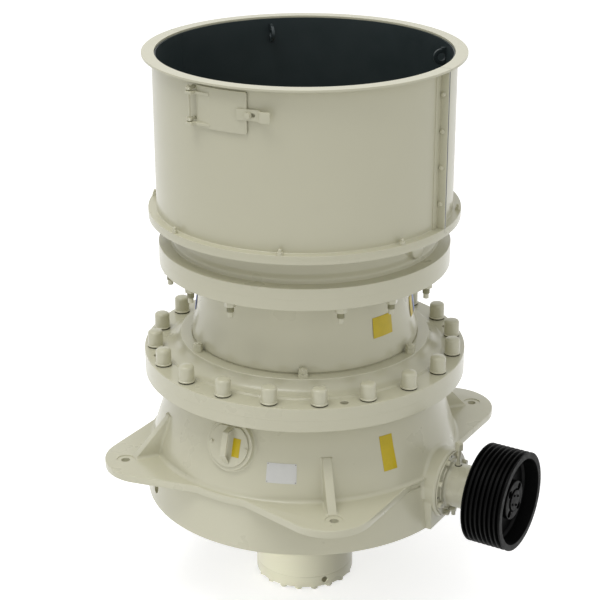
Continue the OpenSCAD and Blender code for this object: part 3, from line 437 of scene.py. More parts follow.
def spread(tree, value, low, high, to_low, to_high):
    return add(tree, "ShaderNodeMapRange", {"Value": value, "From Min": low, "From Max": high,
                                            "To Min": to_low, "To Max": to_high}, "Result")


def bump(tree, height, depth, under=None):
    """Unevenness of a depth in millimetres, over another one where it is given."""
    inputs = {"Height": height, "Strength": 1.0, "Distance": depth * MM}
    if under is not None:
        inputs["Normal"] = under
    return add(tree, "ShaderNodeBump", inputs, "Normal")


def linear(colour):
    return tuple((v / 12.92 if v <= 0.04045 else ((v + 0.055) / 1.055) ** 2.4) for v in colour)


def shade(colour, k):
    return (*(min(1.0, v * k) for v in colour), 1)


def material_tree(name):
    material = bpy.data.materials.new(name)
    material.use_nodes = True
    return material, material.node_tree


def surface(name, colour, rough, mottle, grain, wave=None, metallic=0.0, coat=0.0, specular=0.5):
    """A finish with uneven colour, uneven gloss and a fine or a broad unevenness of its skin.

    A mottle is a strength and a scale. A grain or a wave is a depth in millimetres and a scale."""
    tree = material_tree(name)[1]
    place = add(tree, "ShaderNodeTexCoord", {}, "Object")
    strength, scale = mottle
    tone = spread(tree, noise(tree, place, scale, 4.0, 0.6), 0.3, 0.7, 0.0, 1.0)
    tones = {0: tone, 6: shade(colour, 1 - strength), 7: shade(colour, 1 + strength)}
    base = add(tree, "ShaderNodeMix", tones, 2, data_type="RGBA")
    gloss = spread(tree, noise(tree, place, scale * 3.3, 3.0, 0.5), 0.3, 0.7, *rough)
    normal = bump(tree, noise(tree, place, grain[1], 3.0, 0.6), grain[0])
    if wave:
        normal = bump(tree, noise(tree, place, wave[1], 2.0, 0.5), wave[0], normal)
    feed(tree, tree.nodes["Principled BSDF"], {
        "Base Color": base, "Roughness": gloss, "Normal": normal, "Metallic": metallic,
        "Specular IOR Level": specular, "Coat Weight": coat, "Coat Roughness": 0.14})


# ---------------------------------------------------------------- what a user may change

def colour_of(name, description, *rgb):
    return bpy.props.FloatVectorProperty(
        name=name, description=description, default=linear(rgb), subtype="COLOR", size=3, min=0.0, max=1.0)


def length_of(name, description, default):
    return bpy.props.FloatProperty(name=name, description=description, default=default * MM, unit="LENGTH")


class CrusherFinishes(bpy.types.PropertyGroup):
    """Colours of the crusher's finishes."""
    enamel: colour_of("Enamel", "Cream enamel over castings and plate", 0.768, 0.758, 0.666)
    lining: colour_of("Lining", "Dark lining inside the hopper", 0.165, 0.200, 0.205)
    iron: colour_of("Black iron", "Black paint on the pulley", 0.007, 0.0075, 0.0075)
    manganese: colour_of("Manganese steel", "Bare castings in the crushing chamber", 0.33, 0.32, 0.30)
    steel: colour_of("Steel", "Bare shafts and rivets", 0.62, 0.61, 0.58)
    # Painted shade: the cream enamel made darker, for the shade among the painted threads
    stud: colour_of("Stud", "Painted threads under the collar", 0.60, 0.59, 0.48)
    # Rubber of the seals, and also the painted shade of the dark discs that stand for the jacking holes
    rubber: colour_of("Rubber", "Seals and gaskets", 0.10, 0.105, 0.105)
    seal: colour_of("Seam seal", "Grey seal between the hopper's halves", 0.42, 0.43, 0.43)
    # Painted shade: dark olive for the shadow in the narrow gap under each cap's lip and at the breather
    # pipe's foot
    olive: colour_of("Cap seal", "Dark olive rings under the caps", 0.20, 0.195, 0.13)
    plate: colour_of("Nameplate", "Plain pale metal plate", 0.79, 0.79, 0.775)
    yellow: colour_of("Yellow sheet", "Plain yellow plates", 0.75, 0.66, 0.035)
    blue: colour_of("Blue sheet", "Plain blue plates", 0.20, 0.33, 0.62)


class CrusherSizes(bpy.types.PropertyGroup):
    """Sizes of the crusher's small parts, in metres."""
    cast_edge: length_of("Casting edge", "Rounding of the castings' edges", 5)
    fillet: length_of("Fillet", "Hollow where castings run into each other", 16)
    weld: length_of("Weld", "Leg of the hopper's welds", 3.5)
    cap_count: bpy.props.IntProperty(name="Caps", description="Domed caps on the main flange", default=20)
    foot_bolt: length_of("Foot bolt", "Width over the flats of the hopper's foot bolts", 28)
    housing_bolt: length_of("Housing bolt", "Width of the pinion housing's bolt heads", 32)


def sizes():
    return bpy.context.scene.crusher_sizes


# ---------------------------------------------------------------- fasteners by geometry nodes

# Kind of each named input of the node trees
INPUTS = {"Fastener": "Object", "Material": "Material", "Count": "Int", "Circle radius": "Float",
          "Height": "Float", "First angle": "Float", "Twist of each piece": "Float",
          "Start": "Vector", "Step": "Vector"}


def placed(tree, given, points, **inputs):
    """The fastener on each point."""
    fastener = add(tree, "GeometryNodeObjectInfo", {"Object": given["Fastener"]}, "Geometry")
    return add(tree, "GeometryNodeInstanceOnPoints", {"Points": points, "Instance": fastener, **inputs})


def on_circle(tree, given):
    """Sets the fastener on a circle, each turned with its place and a little at random."""
    circle = add(tree, "GeometryNodeMeshCircle", {
        "Vertices": given["Count"], "Radius": given["Circle radius"]})
    index = add(tree, "GeometryNodeInputIndex", {})
    angle = sums(tree, "MULTIPLY", index, sums(tree, "DIVIDE", TAU, given["Count"]))
    most = {3: given["Twist of each piece"], "Seed": 7}
    twist = add(tree, "FunctionNodeRandomValue", most, 1, data_type="FLOAT")
    turn = add(tree, "ShaderNodeCombineXYZ", {"Z": sums(tree, "ADD", angle, twist)})
    lift = add(tree, "ShaderNodeCombineXYZ", {"Z": given["Height"]})
    swing = add(tree, "ShaderNodeCombineXYZ", {"Z": given["First angle"]})
    return add(tree, "GeometryNodeTransform", {"Geometry": placed(tree, given, circle, Rotation=turn),
                                               "Translation": lift, "Rotation": swing})


def on_line(tree, given):
    """Sets the fastener in a straight row."""
    line = add(tree, "GeometryNodeMeshLine", {"Count": given["Count"], "Start Location": given["Start"],
                                              "Offset": given["Step"]}, mode="OFFSET")
    return placed(tree, given, line)


def grown(name, layout, values):
    """The result of a node tree with named inputs as a plain mesh. The fastener itself is used up."""
    tree = bpy.data.node_groups.new(name + "_nodes", "GeometryNodeTree")
    tree.interface.new_socket(name="Geometry", in_out="OUTPUT", socket_type="NodeSocketGeometry")
    tree.interface.new_socket(name="Geometry", in_out="INPUT", socket_type="NodeSocketGeometry")
    ids = {}
    for title in values:
        kind = "NodeSocket" + INPUTS[title]
        ids[title] = tree.interface.new_socket(name=title, in_out="INPUT", socket_type=kind).identifier
    given = tree.nodes.new("NodeGroupInput").outputs
    real = add(tree, "GeometryNodeRealizeInstances", {"Geometry": layout(tree, given)})
    painted = add(tree, "GeometryNodeSetMaterial", {"Geometry": real, "Material": given["Material"]})
    add(tree, "NodeGroupOutput", {"Geometry": painted})
    holder = linked(name + "_holder", bpy.data.meshes.new(name + "_holder"))
    modifier = holder.modifiers.new("nodes", "NODES")
    modifier.node_group = tree
    for title, value in values.items():
        modifier[ids[title]] = value
    mesh = baked(holder)
    mesh.name = name
    mesh.materials.clear()
    mesh.materials.append(values["Material"])
    for polygon in mesh.polygons:
        polygon.material_index = 0
    bpy.data.objects.remove(holder)
    bpy.data.objects.remove(values["Fastener"])
    return linked(name, mesh)


def ring_of(name, fastener, count, radius, height, material, first=0.0, twist=0.0):
    """Like fasteners on a circle about Z, with angles in degrees."""
    return grown(name, on_circle, {
        "Fastener": fastener, "Material": bpy.data.materials[material], "Count": count,
        "Circle radius": radius, "Height": height, "First angle": math.radians(first),
        "Twist of each piece": math.radians(twist)})


def row_of(name, fastener, count, start, step, material):
    """Like fasteners in a row."""
    return grown(name, on_line, {
        "Fastener": fastener, "Material": bpy.data.materials[material], "Count": count,
        "Start": start, "Step": step})


def hexagon(name, width, z0, z1, material):
    """A hexagon head or nut whose corners are turned off, standing on z0."""
    drop = 0.06 * width
    points = 48
    sections = []
    for z, turned_off in ((z0, 0.0), (z1 - drop, 0.0), (z1 - drop * 0.4, 0.5), (z1, 1.0)):
        section = []
        for i in range(points):
            a = TAU * i / points
            r = width / 2 / math.cos(a % (TAU / 6) - TAU / 12)
            if turned_off:
                r = min(r, width / 2 * (1.12 - 0.2 * turned_off))
            section.append((*polar(r, a), z))
        sections.append(section)
    return strip(name, sections, material, sharp=25)


def thread(name, radius, z0, z1, pitch, material):
    """A threaded length, as turned ridges."""
    root = 0.92 * radius
    profile = [(0, z0)]
    z = z0
    while z < z1 - pitch * 0.5:
        profile += [(root, z), (radius, z + pitch * 0.5)]
        z += pitch
    profile += [(root, z1 - pitch * 0.3), (radius * 0.8, z1), (0, z1)]
    return make(name, *lathe(profile, 32), material, 60)


# ---------------------------------------------------------------- outlines of the castings

# Points in millimetres. SHELL: height over the plate, inset from the seat. WAIST: depth under the flange,
# inset from the seat. BARREL: height over the step, distance out from the bowl.
SHELL = [(0, 0), (34, 5), (74, 16), (114, 29), (174, 49), (234, 69)]
WAIST = [(55, 108), (30, 107.5), (15, 105)]
BARREL = [(9, 31), (48, 29), (98, 18), (142, 9), (186, 2), (243, -3.5), (300, -8)]


def smooth_line(points, steps=4):
    """More points along a smooth curve through a row of points."""
    out = []
    n = len(points)
    for i in range(n - 1):
        p0, p1, p2, p3 = (Vector(points[max(0, min(n - 1, i + k))]) for k in (-1, 0, 1, 2))
        for s in range(steps):
            t = s / steps
            out.append(tuple(0.5 * (2 * p1 + (p2 - p0) * t + (2 * p0 - 5 * p1 + 4 * p2 - p3) * t * t
                                    + (3 * p1 - 3 * p2 + p3 - p0) * t ** 3)))
    return out + [tuple(points[-1])]


def radius_at(line, z):
    """Radius of an outline at a height."""
    for (r0, z0), (r1, z1) in zip(line, line[1:]):
        if min(z0, z1) <= z <= max(z0, z1) and abs(z1 - z0) > 1e-9:
            return r0 + (r1 - r0) * (z - z0) / (z1 - z0)
    return line[0][0] if z < line[0][1] else line[-1][0]


# Outer line of the bottom shell, from the plate up to the waist and with the skirt below, in metres
SHELL_LINE = smooth_line([(R_SEAT - inset * MM, Z_PLATE_TOP + height * MM) for height, inset in SHELL]
                         + [(R_SEAT - inset * MM, FLANGE_LOW - depth * MM) for depth, inset in WAIST], 3)
SKIRT_TOP = (R_SEAT + 9 * MM, PLATE_LOW)
OUTER_LINE = [(R_SKIRT, Z_SKIRT + 6 * MM), SKIRT_TOP, (R_SEAT, PLATE_LOW + 0.1 * MM)] + SHELL_LINE


def on_shell(y, z):
    """Point on the bottom shell's outside, on its +X side."""
    r = radius_at(OUTER_LINE, z)
    return Vector((math.sqrt(max(r * r - y * y, 0)), y, z))


# ---------------------------------------------------------------- operators

class FinishesOperator(bpy.types.Operator):
    """Makes the finishes and gives each carried-over solid its own"""
    bl_idname = "crusher.finishes"
    bl_label = "Finishes"

    BY_SLOT = {"cream_paint": "enamel", "dark_lining": "lining", "seal_rubber": "rubber",
               "manganese_casting": "manganese", "black_iron": "iron", "bright_steel": "steel",
               "stud_steel": "stud", "plain_nameplate": "nameplate", "yellow_sheet": "yellow",
               "blue_sheet": "blue"}

    def execute(self, context):
        f = context.scene.crusher_finishes
        surface("enamel", f.enamel, (0.27, 0.30), mottle=(0.006, 1.4), grain=(0.003, 180), coat=0.25,
                specular=0.45)
        surface("enamel_sheet", f.enamel, (0.28, 0.31), mottle=(0.006, 1.1), grain=(0.003, 200), coat=0.15,
                specular=0.36)
        surface("lining", f.lining, (0.36, 0.46), mottle=(0.06, 2.5), grain=(0.05, 160), wave=(0.15, 4),
                specular=0.4)
        surface("iron", f.iron, (0.42, 0.55), mottle=(0.2, 9), grain=(0.12, 220), specular=0.1)
        surface("manganese", f.manganese, (0.45, 0.65), mottle=(0.25, 7), grain=(0.6, 90), wave=(1.2, 12),
                metallic=0.6)
        surface("steel", f.steel, (0.22, 0.36), mottle=(0.12, 12), grain=(0.03, 500), metallic=1.0)
        # Darker copy of the enamel: painted shade on the threads
        surface("stud", f.stud, (0.28, 0.4), mottle=(0.12, 30), grain=(0.05, 300))
        surface("grey_seal", f.seal, (0.45, 0.6), mottle=(0.1, 14), grain=(0.05, 300))
        # Painted shade for the thin rings under the caps and the breather
        surface("olive_seal", f.olive, (0.45, 0.6), mottle=(0.1, 14), grain=(0.05, 300))
        surface("rubber", f.rubber, (0.5, 0.65), mottle=(0.15, 14), grain=(0.1, 300))
        surface("nameplate", f.plate, (0.3, 0.42), mottle=(0.03, 12), grain=(0.02, 400), metallic=0.1)
        surface("yellow", f.yellow, (0.3, 0.42), mottle=(0.07, 14), grain=(0.03, 300))
        surface("blue", f.blue, (0.3, 0.42), mottle=(0.07, 14), grain=(0.03, 300))
        for part in frame["record"]["subparts"]:
            materials = frame["nodes"][part["node"]].data.materials
            materials.clear()
            materials.append(bpy.data.materials[self.BY_SLOT[part["material_slot"]]])
        return {"FINISHED"}


class BottomShellOperator(bpy.types.Operator):
    """Makes the bottom shell with its pinion boss, keel and cover pad"""
    bl_idname = "crusher.bottom_shell"
    bl_label = "Bottom shell"

    WALL = 60 * MM
    BOSS_R = 196 * MM
    PAD_R = 140 * MM
    # The plane of the inspection cover's pad
    COVER = (turn_z(-88.7) @ shift(823.3 * MM, 0, 318 * MM)
             @ Matrix.Rotation(math.radians(-16.5), 4, "Y") @ LAID_ON_X)

    def execute(self, context):
        s = sizes()
        outside = [(R_SKIRT, Z_SKIRT), SKIRT_TOP, (R_SEAT, PLATE_LOW), *SHELL_LINE,
                   (R_SEAT - 85 * MM, FLANGE_LOW), (R_FLANGE, FLANGE_LOW), (R_FLANGE, Z_JOINT, TIGHT)]
        inside = [(660 * MM, Z_JOINT), (680 * MM, 460 * MM), (748 * MM, 286 * MM), (R_SEAT - self.WALL, 0),
                  (R_SKIRT - self.WALL, Z_SKIRT)]
        shell = cut_out(turned("shell", outside + inside, "enamel", 224, s.cast_edge), [self.skirt_hole()])
        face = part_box("bottom_shell")[1].x / MM
        boss = flat([(150, 700), (196, 700), (196, face - 12), (189, face), (184, face), (184, face - 12),
                     (150, face - 12)])
        boss = along_x(turned("boss", boss, "enamel", 160))
        keel = block("keel", (700 * MM, -190 * MM, Z_SKIRT), (R_SEAT + 48 * MM, 190 * MM, Z_PINION), "enamel",
                     s.cast_edge)
        pad = moved(disc("pad", 140, -70, 0, "enamel", 96, 4), self.COVER)
        casting = join("bottom_shell_casting", [
            shell, boss, keel, self.boss_fillet(s.fillet), pad, self.pad_fillet(s.fillet * 0.7),
            self.seat_fillet(s.fillet * 1.2)])
        finish_piece(casting, "root", "cream_paint", "bottom_shell")
        screws = []
        profile = flat([(0, 9), (9.5, 9), (9.5, 17), (8, 19.5), (0, 20)])
        for x, y in ((-2, -105), (3, 112)):
            head = turned("head", profile, "enamel", 32, 1 * MM)
            screws.append(moved(head, self.COVER @ shift(x * MM, y * MM, 0)))
        finish_piece(join("inspection_cover_screws", screws), "root", "cream_paint")
        return {"FINISHED"}

    @staticmethod
    def skirt_hole():
        """Cutter for the round hole through the skirt."""
        rod = make("hole", *lathe(flat([(0, 660), (38, 660), (38, 950), (0, 950)]), 48), "enamel")
        return moved(rod, turn_z(-128.5) @ shift(0, 0, -150 * MM) @ LAID_ON_X)

    @staticmethod
    def seat_fillet(leg):
        """Hollow where the shell runs down into the mounting plate."""
        height = Z_PLATE_TOP + leg
        section = seam_section((R_SEAT, Z_PLATE_TOP), (R_SEAT + leg, Z_PLATE_TOP),
                               (radius_at(SHELL_LINE, height), height), 5 * MM)
        return make("seat_fillet", *lathe(section, 224), "enamel", 50)

    def boss_fillet(self, leg):
        """Hollow over the pinion boss where it runs into the shell."""
        sections = []
        for i in range(97):
            a = math.radians(-8 + 196 * i / 96)
            corner, out = (on_shell(r * math.cos(a), Z_PINION + r * math.sin(a))
                           for r in (self.BOSS_R, self.BOSS_R + leg))
            sections.append(seam_section(corner, corner + Vector((leg, 0, 0)), out, 6 * MM))
        return strip("boss_fillet", sections, "enamel")

    def pad_fillet(self, leg):
        """Hollow round the inspection cover's pad."""
        axis = (self.COVER.to_3x3() @ Vector((0, 0, 1))).normalized()
        sections = []
        for i in range(96):
            corner, out = (self.under_pad(r, TAU * i / 96, axis) for r in (self.PAD_R, self.PAD_R + leg))
            sections.append(seam_section(corner, corner + axis * min(leg, 9 * MM), out, 5 * MM))
        return strip("pad_fillet", sections, "enamel", closed=True)

    def under_pad(self, r, turn, axis):
        """Point on the shell under a point of the pad's plane, found in steps along the pad's axis."""
        p = self.COVER @ Vector((*polar(r, turn), 0))
        for _ in range(40):
            off = math.hypot(p.x, p.y) - radius_at(OUTER_LINE, p.z)
            if abs(off) < 1e-6:
                break
            p = p - axis * off * 0.9
        return p


class MountingPlateOperator(bpy.types.Operator):
    """Makes the mounting plate and the ribs over its corners"""
    bl_idname = "crusher.mounting_plate"
    bl_label = "Mounting plate and ribs"

    def execute(self, context):
        halves = [self.half(side) for side in (1, -1)]
        finish_piece(join("mounting_plate_casting", halves), "root", "cream_paint", "mounting_plate")
        ribs = []
        for angle in (EAR_ANGLE, 180 - EAR_ANGLE, 180 + EAR_ANGLE, -EAR_ANGLE):
            ribs += [moved(piece, turn_z(angle)) for piece in self.rib()]
        finish_piece(join("corner_ribs", ribs), "root", "cream_paint", "plate_gussets")
        return {"FINISHED"}

    @staticmethod
    def outline(side):
        """Outline of one half of the plate: the seat, a corner, the bulge at the front, and a corner."""
        seat, bulge, corner = 877, 905, 255
        side_x, side_y = 834, 982
        slant = 12.7             # of the edge between a corner and the bulge
        cx, cy = side_x - corner, side_y - corner
        start = math.degrees(math.acos(side_x / seat))
        reach = cy * math.cos(math.radians(slant)) - cx * math.sin(math.radians(slant)) + corner
        meet = 90 + slant - math.degrees(math.acos(reach / bulge))
        points = arc(0, 0, seat, start, 180 - start, 72) + arc(-cx, cy, corner, 180, 90 - slant, 24)
        points += arc(0, 0, bulge, 180 - meet, meet, 12) + arc(cx, cy, corner, 90 + slant, 0, 24)
        return [(x * MM, side * y * MM) for x, y in points]

    def half(self, side):
        """One half of the plate, with its spot faces, bolt holes and bearing pads."""
        plate = bevelled("half", *prism(self.outline(side), PLATE_LOW, Z_PLATE_TOP), "enamel", 4 * MM)
        top = Z_PLATE_TOP / MM
        spot = flat([(0, -10), (24, -10), (24, top - 5), (25, top - 4), (49, top - 4), (49, top - 1),
                     (50.5, top + 1), (0, top + 1)])
        places = [shift(end * EAR_X, side * EAR_Y, 0) for end in (-1, 1)]
        cut_out(plate, [moved(make("spot", *lathe(spot, 64), "enamel"), place) for place in places])
        pads = [moved(disc("pad", 80, 0, 8.5, "enamel", 64, inner=24), place) for place in places]
        return join("half", [plate] + pads)

    @staticmethod
    def rib():
        """One upright rib that flares into the plate, and the hollows where it meets the shell."""
        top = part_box("plate_gussets")[1].z
        half, flare, edge, leg = 24 * MM, 20 * MM, 4 * MM, 14 * MM
        foot = Z_PLATE_TOP - MM
        crest_r = radius_at(OUTER_LINE, top) + 6 * MM
        reach = math.hypot(EAR_X, EAR_Y) - 53 * MM
        sections = []
        along = [crest_r + (reach - crest_r) * i / 40 for i in range(41)]
        for r in [crest_r - 36 * MM] + along + [reach + 2 * MM]:
            t = max(0.0, (r - crest_r) / (reach - crest_r))
            crest = max(top + (Z_PLATE_TOP + 5 * MM - top) * t, foot + 1.5 * MM)
            height = crest - foot
            round_edge = min(edge, height / 4)
            turns = [math.radians(15 * i) for i in range(7)]
            flank = [(half + flare * (1 - math.sin(a)),
                      foot + min(flare * (1 - math.cos(a)), height - edge / 4)) for a in turns]
            flank += [(half - round_edge * (1 - math.cos(a)), crest - round_edge * (1 - math.sin(a)))
                      for a in turns[::2]]
            sections.append([(r, y, z) for y, z in flank] + [(r, -y, z) for y, z in reversed(flank)])
        pieces = [strip("upright", sections, "enamel", sharp=40)]
        for side in (-1, 1):
            rows = []
            for i in range(25):
                z = Z_PLATE_TOP + (top - Z_PLATE_TOP) * i / 24
                corner, beside = on_shell(side * half, z), on_shell(side * (half + leg), z)
                rows.append(seam_section(corner, corner + Vector((leg, 0, 0)), beside, 3 * MM))
            pieces.append(strip("hollow", rows, "enamel"))
        return pieces


class TopShellOperator(bpy.types.Operator):
    """Makes the top shell with its shoulder and the tapped holes in its flange"""
    bl_idname = "crusher.top_shell"
    bl_label = "Top shell"

    def execute(self, context):
        joint, flange, step, low, top = in_mm(Z_JOINT, FLANGE_TOP, STEP_TOP, COLLAR_LOW, Z_COLLAR)
        collar, rim, tight = in_mm(R_COLLAR, R_FLANGE, TIGHT)
        shoulder = []
        for i in range(12):
            a = math.radians(90 * i / 12)
            shoulder.append((774 - 70 * math.sin(a), flange + 6 + (step - 14 - flange) * (1 - math.cos(a))))
        profile = [(600, joint), (rim, joint, tight), (rim, flange), (790, flange), (787, flange + 3),
                   (782, flange + 3), (779, flange + 6), *shoulder, (704, step - 3), (701, step), (640, step),
                   (636, step - 3), (628, step - 3)]
        profile += smooth_line([(606 + out, step + height) for height, out in BARREL], 3)
        profile += [(596, low - 40), (602, low - 20), (612, low - 8), (636, low), (collar, low),
                    (collar, top, tight), (560, top)]
        body = turned("top_shell_body", flat(profile), "enamel", 224, 4 * MM)
        finish_piece(cut_out(body, self.tapped_holes(flange)), "root", "cream_paint", "top_shell")
        return {"FINISHED"}

    @staticmethod
    def tapped_holes(flange):
        """Cutters for four tapped holes in the flange, open at its top."""
        profile = flat([(0, flange - 48), (22, flange - 48), (22, flange - 2), (24.5, flange + 1),
                        (24.5, flange + 22), (0, flange + 22)])
        return [moved(make("hole", *lathe(profile, 32), "enamel"), turn_z(45 + 90 * k) @ shift(R_CAPS, 0, 0))
                for k in range(4)]


class FlangeFastenersOperator(bpy.types.Operator):
    """Makes the domed caps on the main flange and the nuts on the shoulder"""
    bl_idname = "crusher.flange_fasteners"
    bl_label = "Caps and nuts"

    def execute(self, context):
        count = sizes().cap_count
        dome = arc(25.2, 80, 17, 0, 80, 8)
        cap = flat([(0, 6.5), (45.5, 6.5), (47, 8), (47, 12), (42.4, 14.5), *dome, (14, 99.2), (0, 100)])
        cap = turned("cap", cap, "enamel", 48, 1.5 * MM)
        caps = ring_of("main_flange_cap_ring", cap, count, R_CAPS, FLANGE_TOP, "enamel")
        finish_piece(caps, "root", "cream_paint", "main_flange_caps")
        # A thin ring under each cap, painted dark olive for the shadow under the cap's lip
        seal = disc("seal", 44.5, 0.1, 7, "olive_seal", 48, 0.8, inner=36)
        seals = ring_of("cap_seal_ring", seal, count, R_CAPS, FLANGE_TOP, "olive_seal")
        finish_piece(seals, "root", "seal_rubber")
        washer = disc("washer", 29, 0, 4, "enamel")
        nut = hexagon("nut", 50 * MM, 4 * MM, 25 * MM, "enamel")
        lock = hexagon("lock", 46 * MM, 26 * MM, 46 * MM, "enamel")
        end = turned("end", flat([(0, 40), (14, 40), (14, 48), (12, 50), (0, 50)]), "enamel", 32, 1 * MM)
        stack = join("stack", [nut, lock, end, washer])
        nuts = ring_of("shoulder_nut_ring", stack, 6, 672 * MM, STEP_TOP, "enamel", twist=40)
        finish_piece(nuts, "root", "cream_paint", "step_nuts")
        return {"FINISHED"}


class CollarStudsOperator(bpy.types.Operator):
    """Makes the studs that hang under the collar"""
    bl_idname = "crusher.collar_studs"
    bl_label = "Collar studs"

    def execute(self, context):
        nuts, rods = [], []
        for k in range(3):
            nut = hexagon("nut", 58 * MM, 4 * MM, 34 * MM, "enamel")
            stack = join("stack", [nut, disc("washer", 38, 0, 4, "enamel")])
            # Threads in the darker, painted-shade copy of the enamel
            rod = thread("rod", 19.5 * MM, 30 * MM, 66 * MM, 4 * MM, "stud")
            tip = flat([(0, 60), (15, 60), (15, 92), (13, 94), (0, 94)])
            tip = turned("tip", tip, "enamel", 32, 1.5 * MM)
            nuts.append(self.hung(stack, "enamel", k, twist=30))
            rods += [self.hung(rod, "stud", k), self.hung(tip, "enamel", k)]
        finish_piece(join("collar_stud_nuts", nuts), "root", "cream_paint", "collar_studs")
        finish_piece(join("collar_stud_threads", rods), "root", "stud_steel")
        return {"FINISHED"}

    @staticmethod
    def hung(fastener, material, k, twist=0.0):
        """One of each group of three, hung under the collar at four places."""
        fastener = moved(fastener, UPSIDE_DOWN)
        return ring_of("hung", fastener, 4, 760 * MM, COLLAR_LOW, material, 45 + 22.5 * k, twist)


class SpiderRingOperator(bpy.types.Operator):
    """Makes the spider ring with the bosses at the ends of the spider's arms"""
    bl_idname = "crusher.spider_ring"
    bl_label = "Spider ring"

    NECK = 716
    # Distance out from the neck and height over the collar
    NECK_FOOT = [(22, 0), (22, 14), (21, 20), (18, 26), (13, 32), (7, 38), (2, 46), (0, 56)]

    def execute(self, context):
        bottom, collar_top, low, top = in_mm(Z_COLLAR, COLLAR_TOP, RING_LOW, Z_RING_TOP)
        collar, rim, tight = in_mm(R_COLLAR, R_RING, TIGHT)
        profile = [(595, bottom), (collar, bottom, tight), (collar, collar_top)]
        profile += [(self.NECK + out, collar_top + height) for out, height in self.NECK_FOOT]
        profile += [(self.NECK, low - 20), (self.NECK + 2, low - 10), (self.NECK + 9, low), (rim, low),
                    (rim, top, tight), (655, top), (595, top - 76)]
        ring = turned("ring", flat(profile), "enamel", 224, 4 * MM)
        bosses = [moved(self.boss(), turn_z(end - 5)) for end in (0, 180)]
        finish_piece(join("spider_ring_casting", [ring] + bosses), "root", "cream_paint", "spider_ring")
        return {"FINISHED"}

    def boss(self):
        """U-shaped boss with rounded flanks, wrapped round the neck under the ring's flange."""
        flank = [(98, 0), (78, -36), (61, -71), (48, -96), (30, -113)]
        line = [(-u, z) for u, z in flank] + [(0, -121)] + flank[::-1]
        line = smooth_line([(u * MM, RING_LOW + z * MM) for u, z in line], 4)
        mid = Vector((0.0, RING_LOW - 45 * MM))
        root, neck, face = (r * MM for r in (700, self.NECK, 745))

        def on_neck(r, p, top):
            return *polar(r, p[0] / r), min(p[1], top)

        sections, crown = [], []
        for u, z in line:
            p = Vector((u, z))
            out = (p - mid).normalized()
            foot = p + out * 12 * MM
            core = (u * 0.5, RING_LOW - 30 * MM)
            section = ((root, foot), (neck, foot), (neck + 2.5 * MM, p + out * 4 * MM), (neck + 8 * MM, p),
                       (face - 6 * MM, p), (face - 1.5 * MM, p - out * 2 * MM), (face, p - out * 8 * MM),
                       (face, core), (root, core))
            sections.append([on_neck(r, q, RING_LOW + MM) for r, q in section])
            crown.append(p - out * 7 * MM)
        faces = [[on_neck(r, p, RING_LOW) for p in crown] for r in (neck - MM, face)]
        return join("boss", [strip("flanks", sections, "enamel"), strip("face", faces, "enamel", sharp=30)])


def curved_panel(name, r_in, r_out, heights, angles, material, hole=None, edge=0.0):
    """A curved plate between two radii, cut into cells, with one window left out."""
    verts, faces, index = [], [], {}

    def vertex(k, i, j):
        if (k, i, j) not in index:
            index[k, i, j] = len(verts)
            verts.append((*polar((r_in, r_out)[k], math.radians(angles[i])), heights[j]))
        return index[k, i, j]

    across, up = len(angles) - 1, len(heights) - 1

    def solid(i, j):
        if not (0 <= i < across and 0 <= j < up):
            return False
        a, z = (angles[i] + angles[i + 1]) / 2, (heights[j] + heights[j + 1]) / 2
        return hole is None or not (hole[0] < a < hole[1] and hole[2] < z < hole[3])

    for i in range(across):
        for j in range(up):
            if not solid(i, j):
                continue
            faces.append((vertex(1, i, j), vertex(1, i + 1, j), vertex(1, i + 1, j + 1), vertex(1, i, j + 1)))
            faces.append((vertex(0, i, j), vertex(0, i, j + 1), vertex(0, i + 1, j + 1), vertex(0, i + 1, j)))
            for di, dj, a, b in ((-1, 0, (i, j), (i, j + 1)), (1, 0, (i + 1, j), (i + 1, j + 1)),
                                 (0, -1, (i, j), (i + 1, j)), (0, 1, (i, j + 1), (i + 1, j + 1))):
                if not solid(i + di, j + dj):
                    faces.append((vertex(0, *a), vertex(0, *b), vertex(1, *b), vertex(1, *a)))
    if edge:
        return bevelled(name, verts, faces, material, edge)
    return make(name, verts, faces, material, 30)


def stations(*stops, step=2.0):
    """Values from the first stop to the last by way of each stop, no more than a step apart."""
    values = [stops[0]]
    for a, b in zip(stops, stops[1:]):
        n = max(1, math.ceil((b - a) / step))
        values += [a + (b - a) * i / n for i in range(1, n + 1)]
    return values


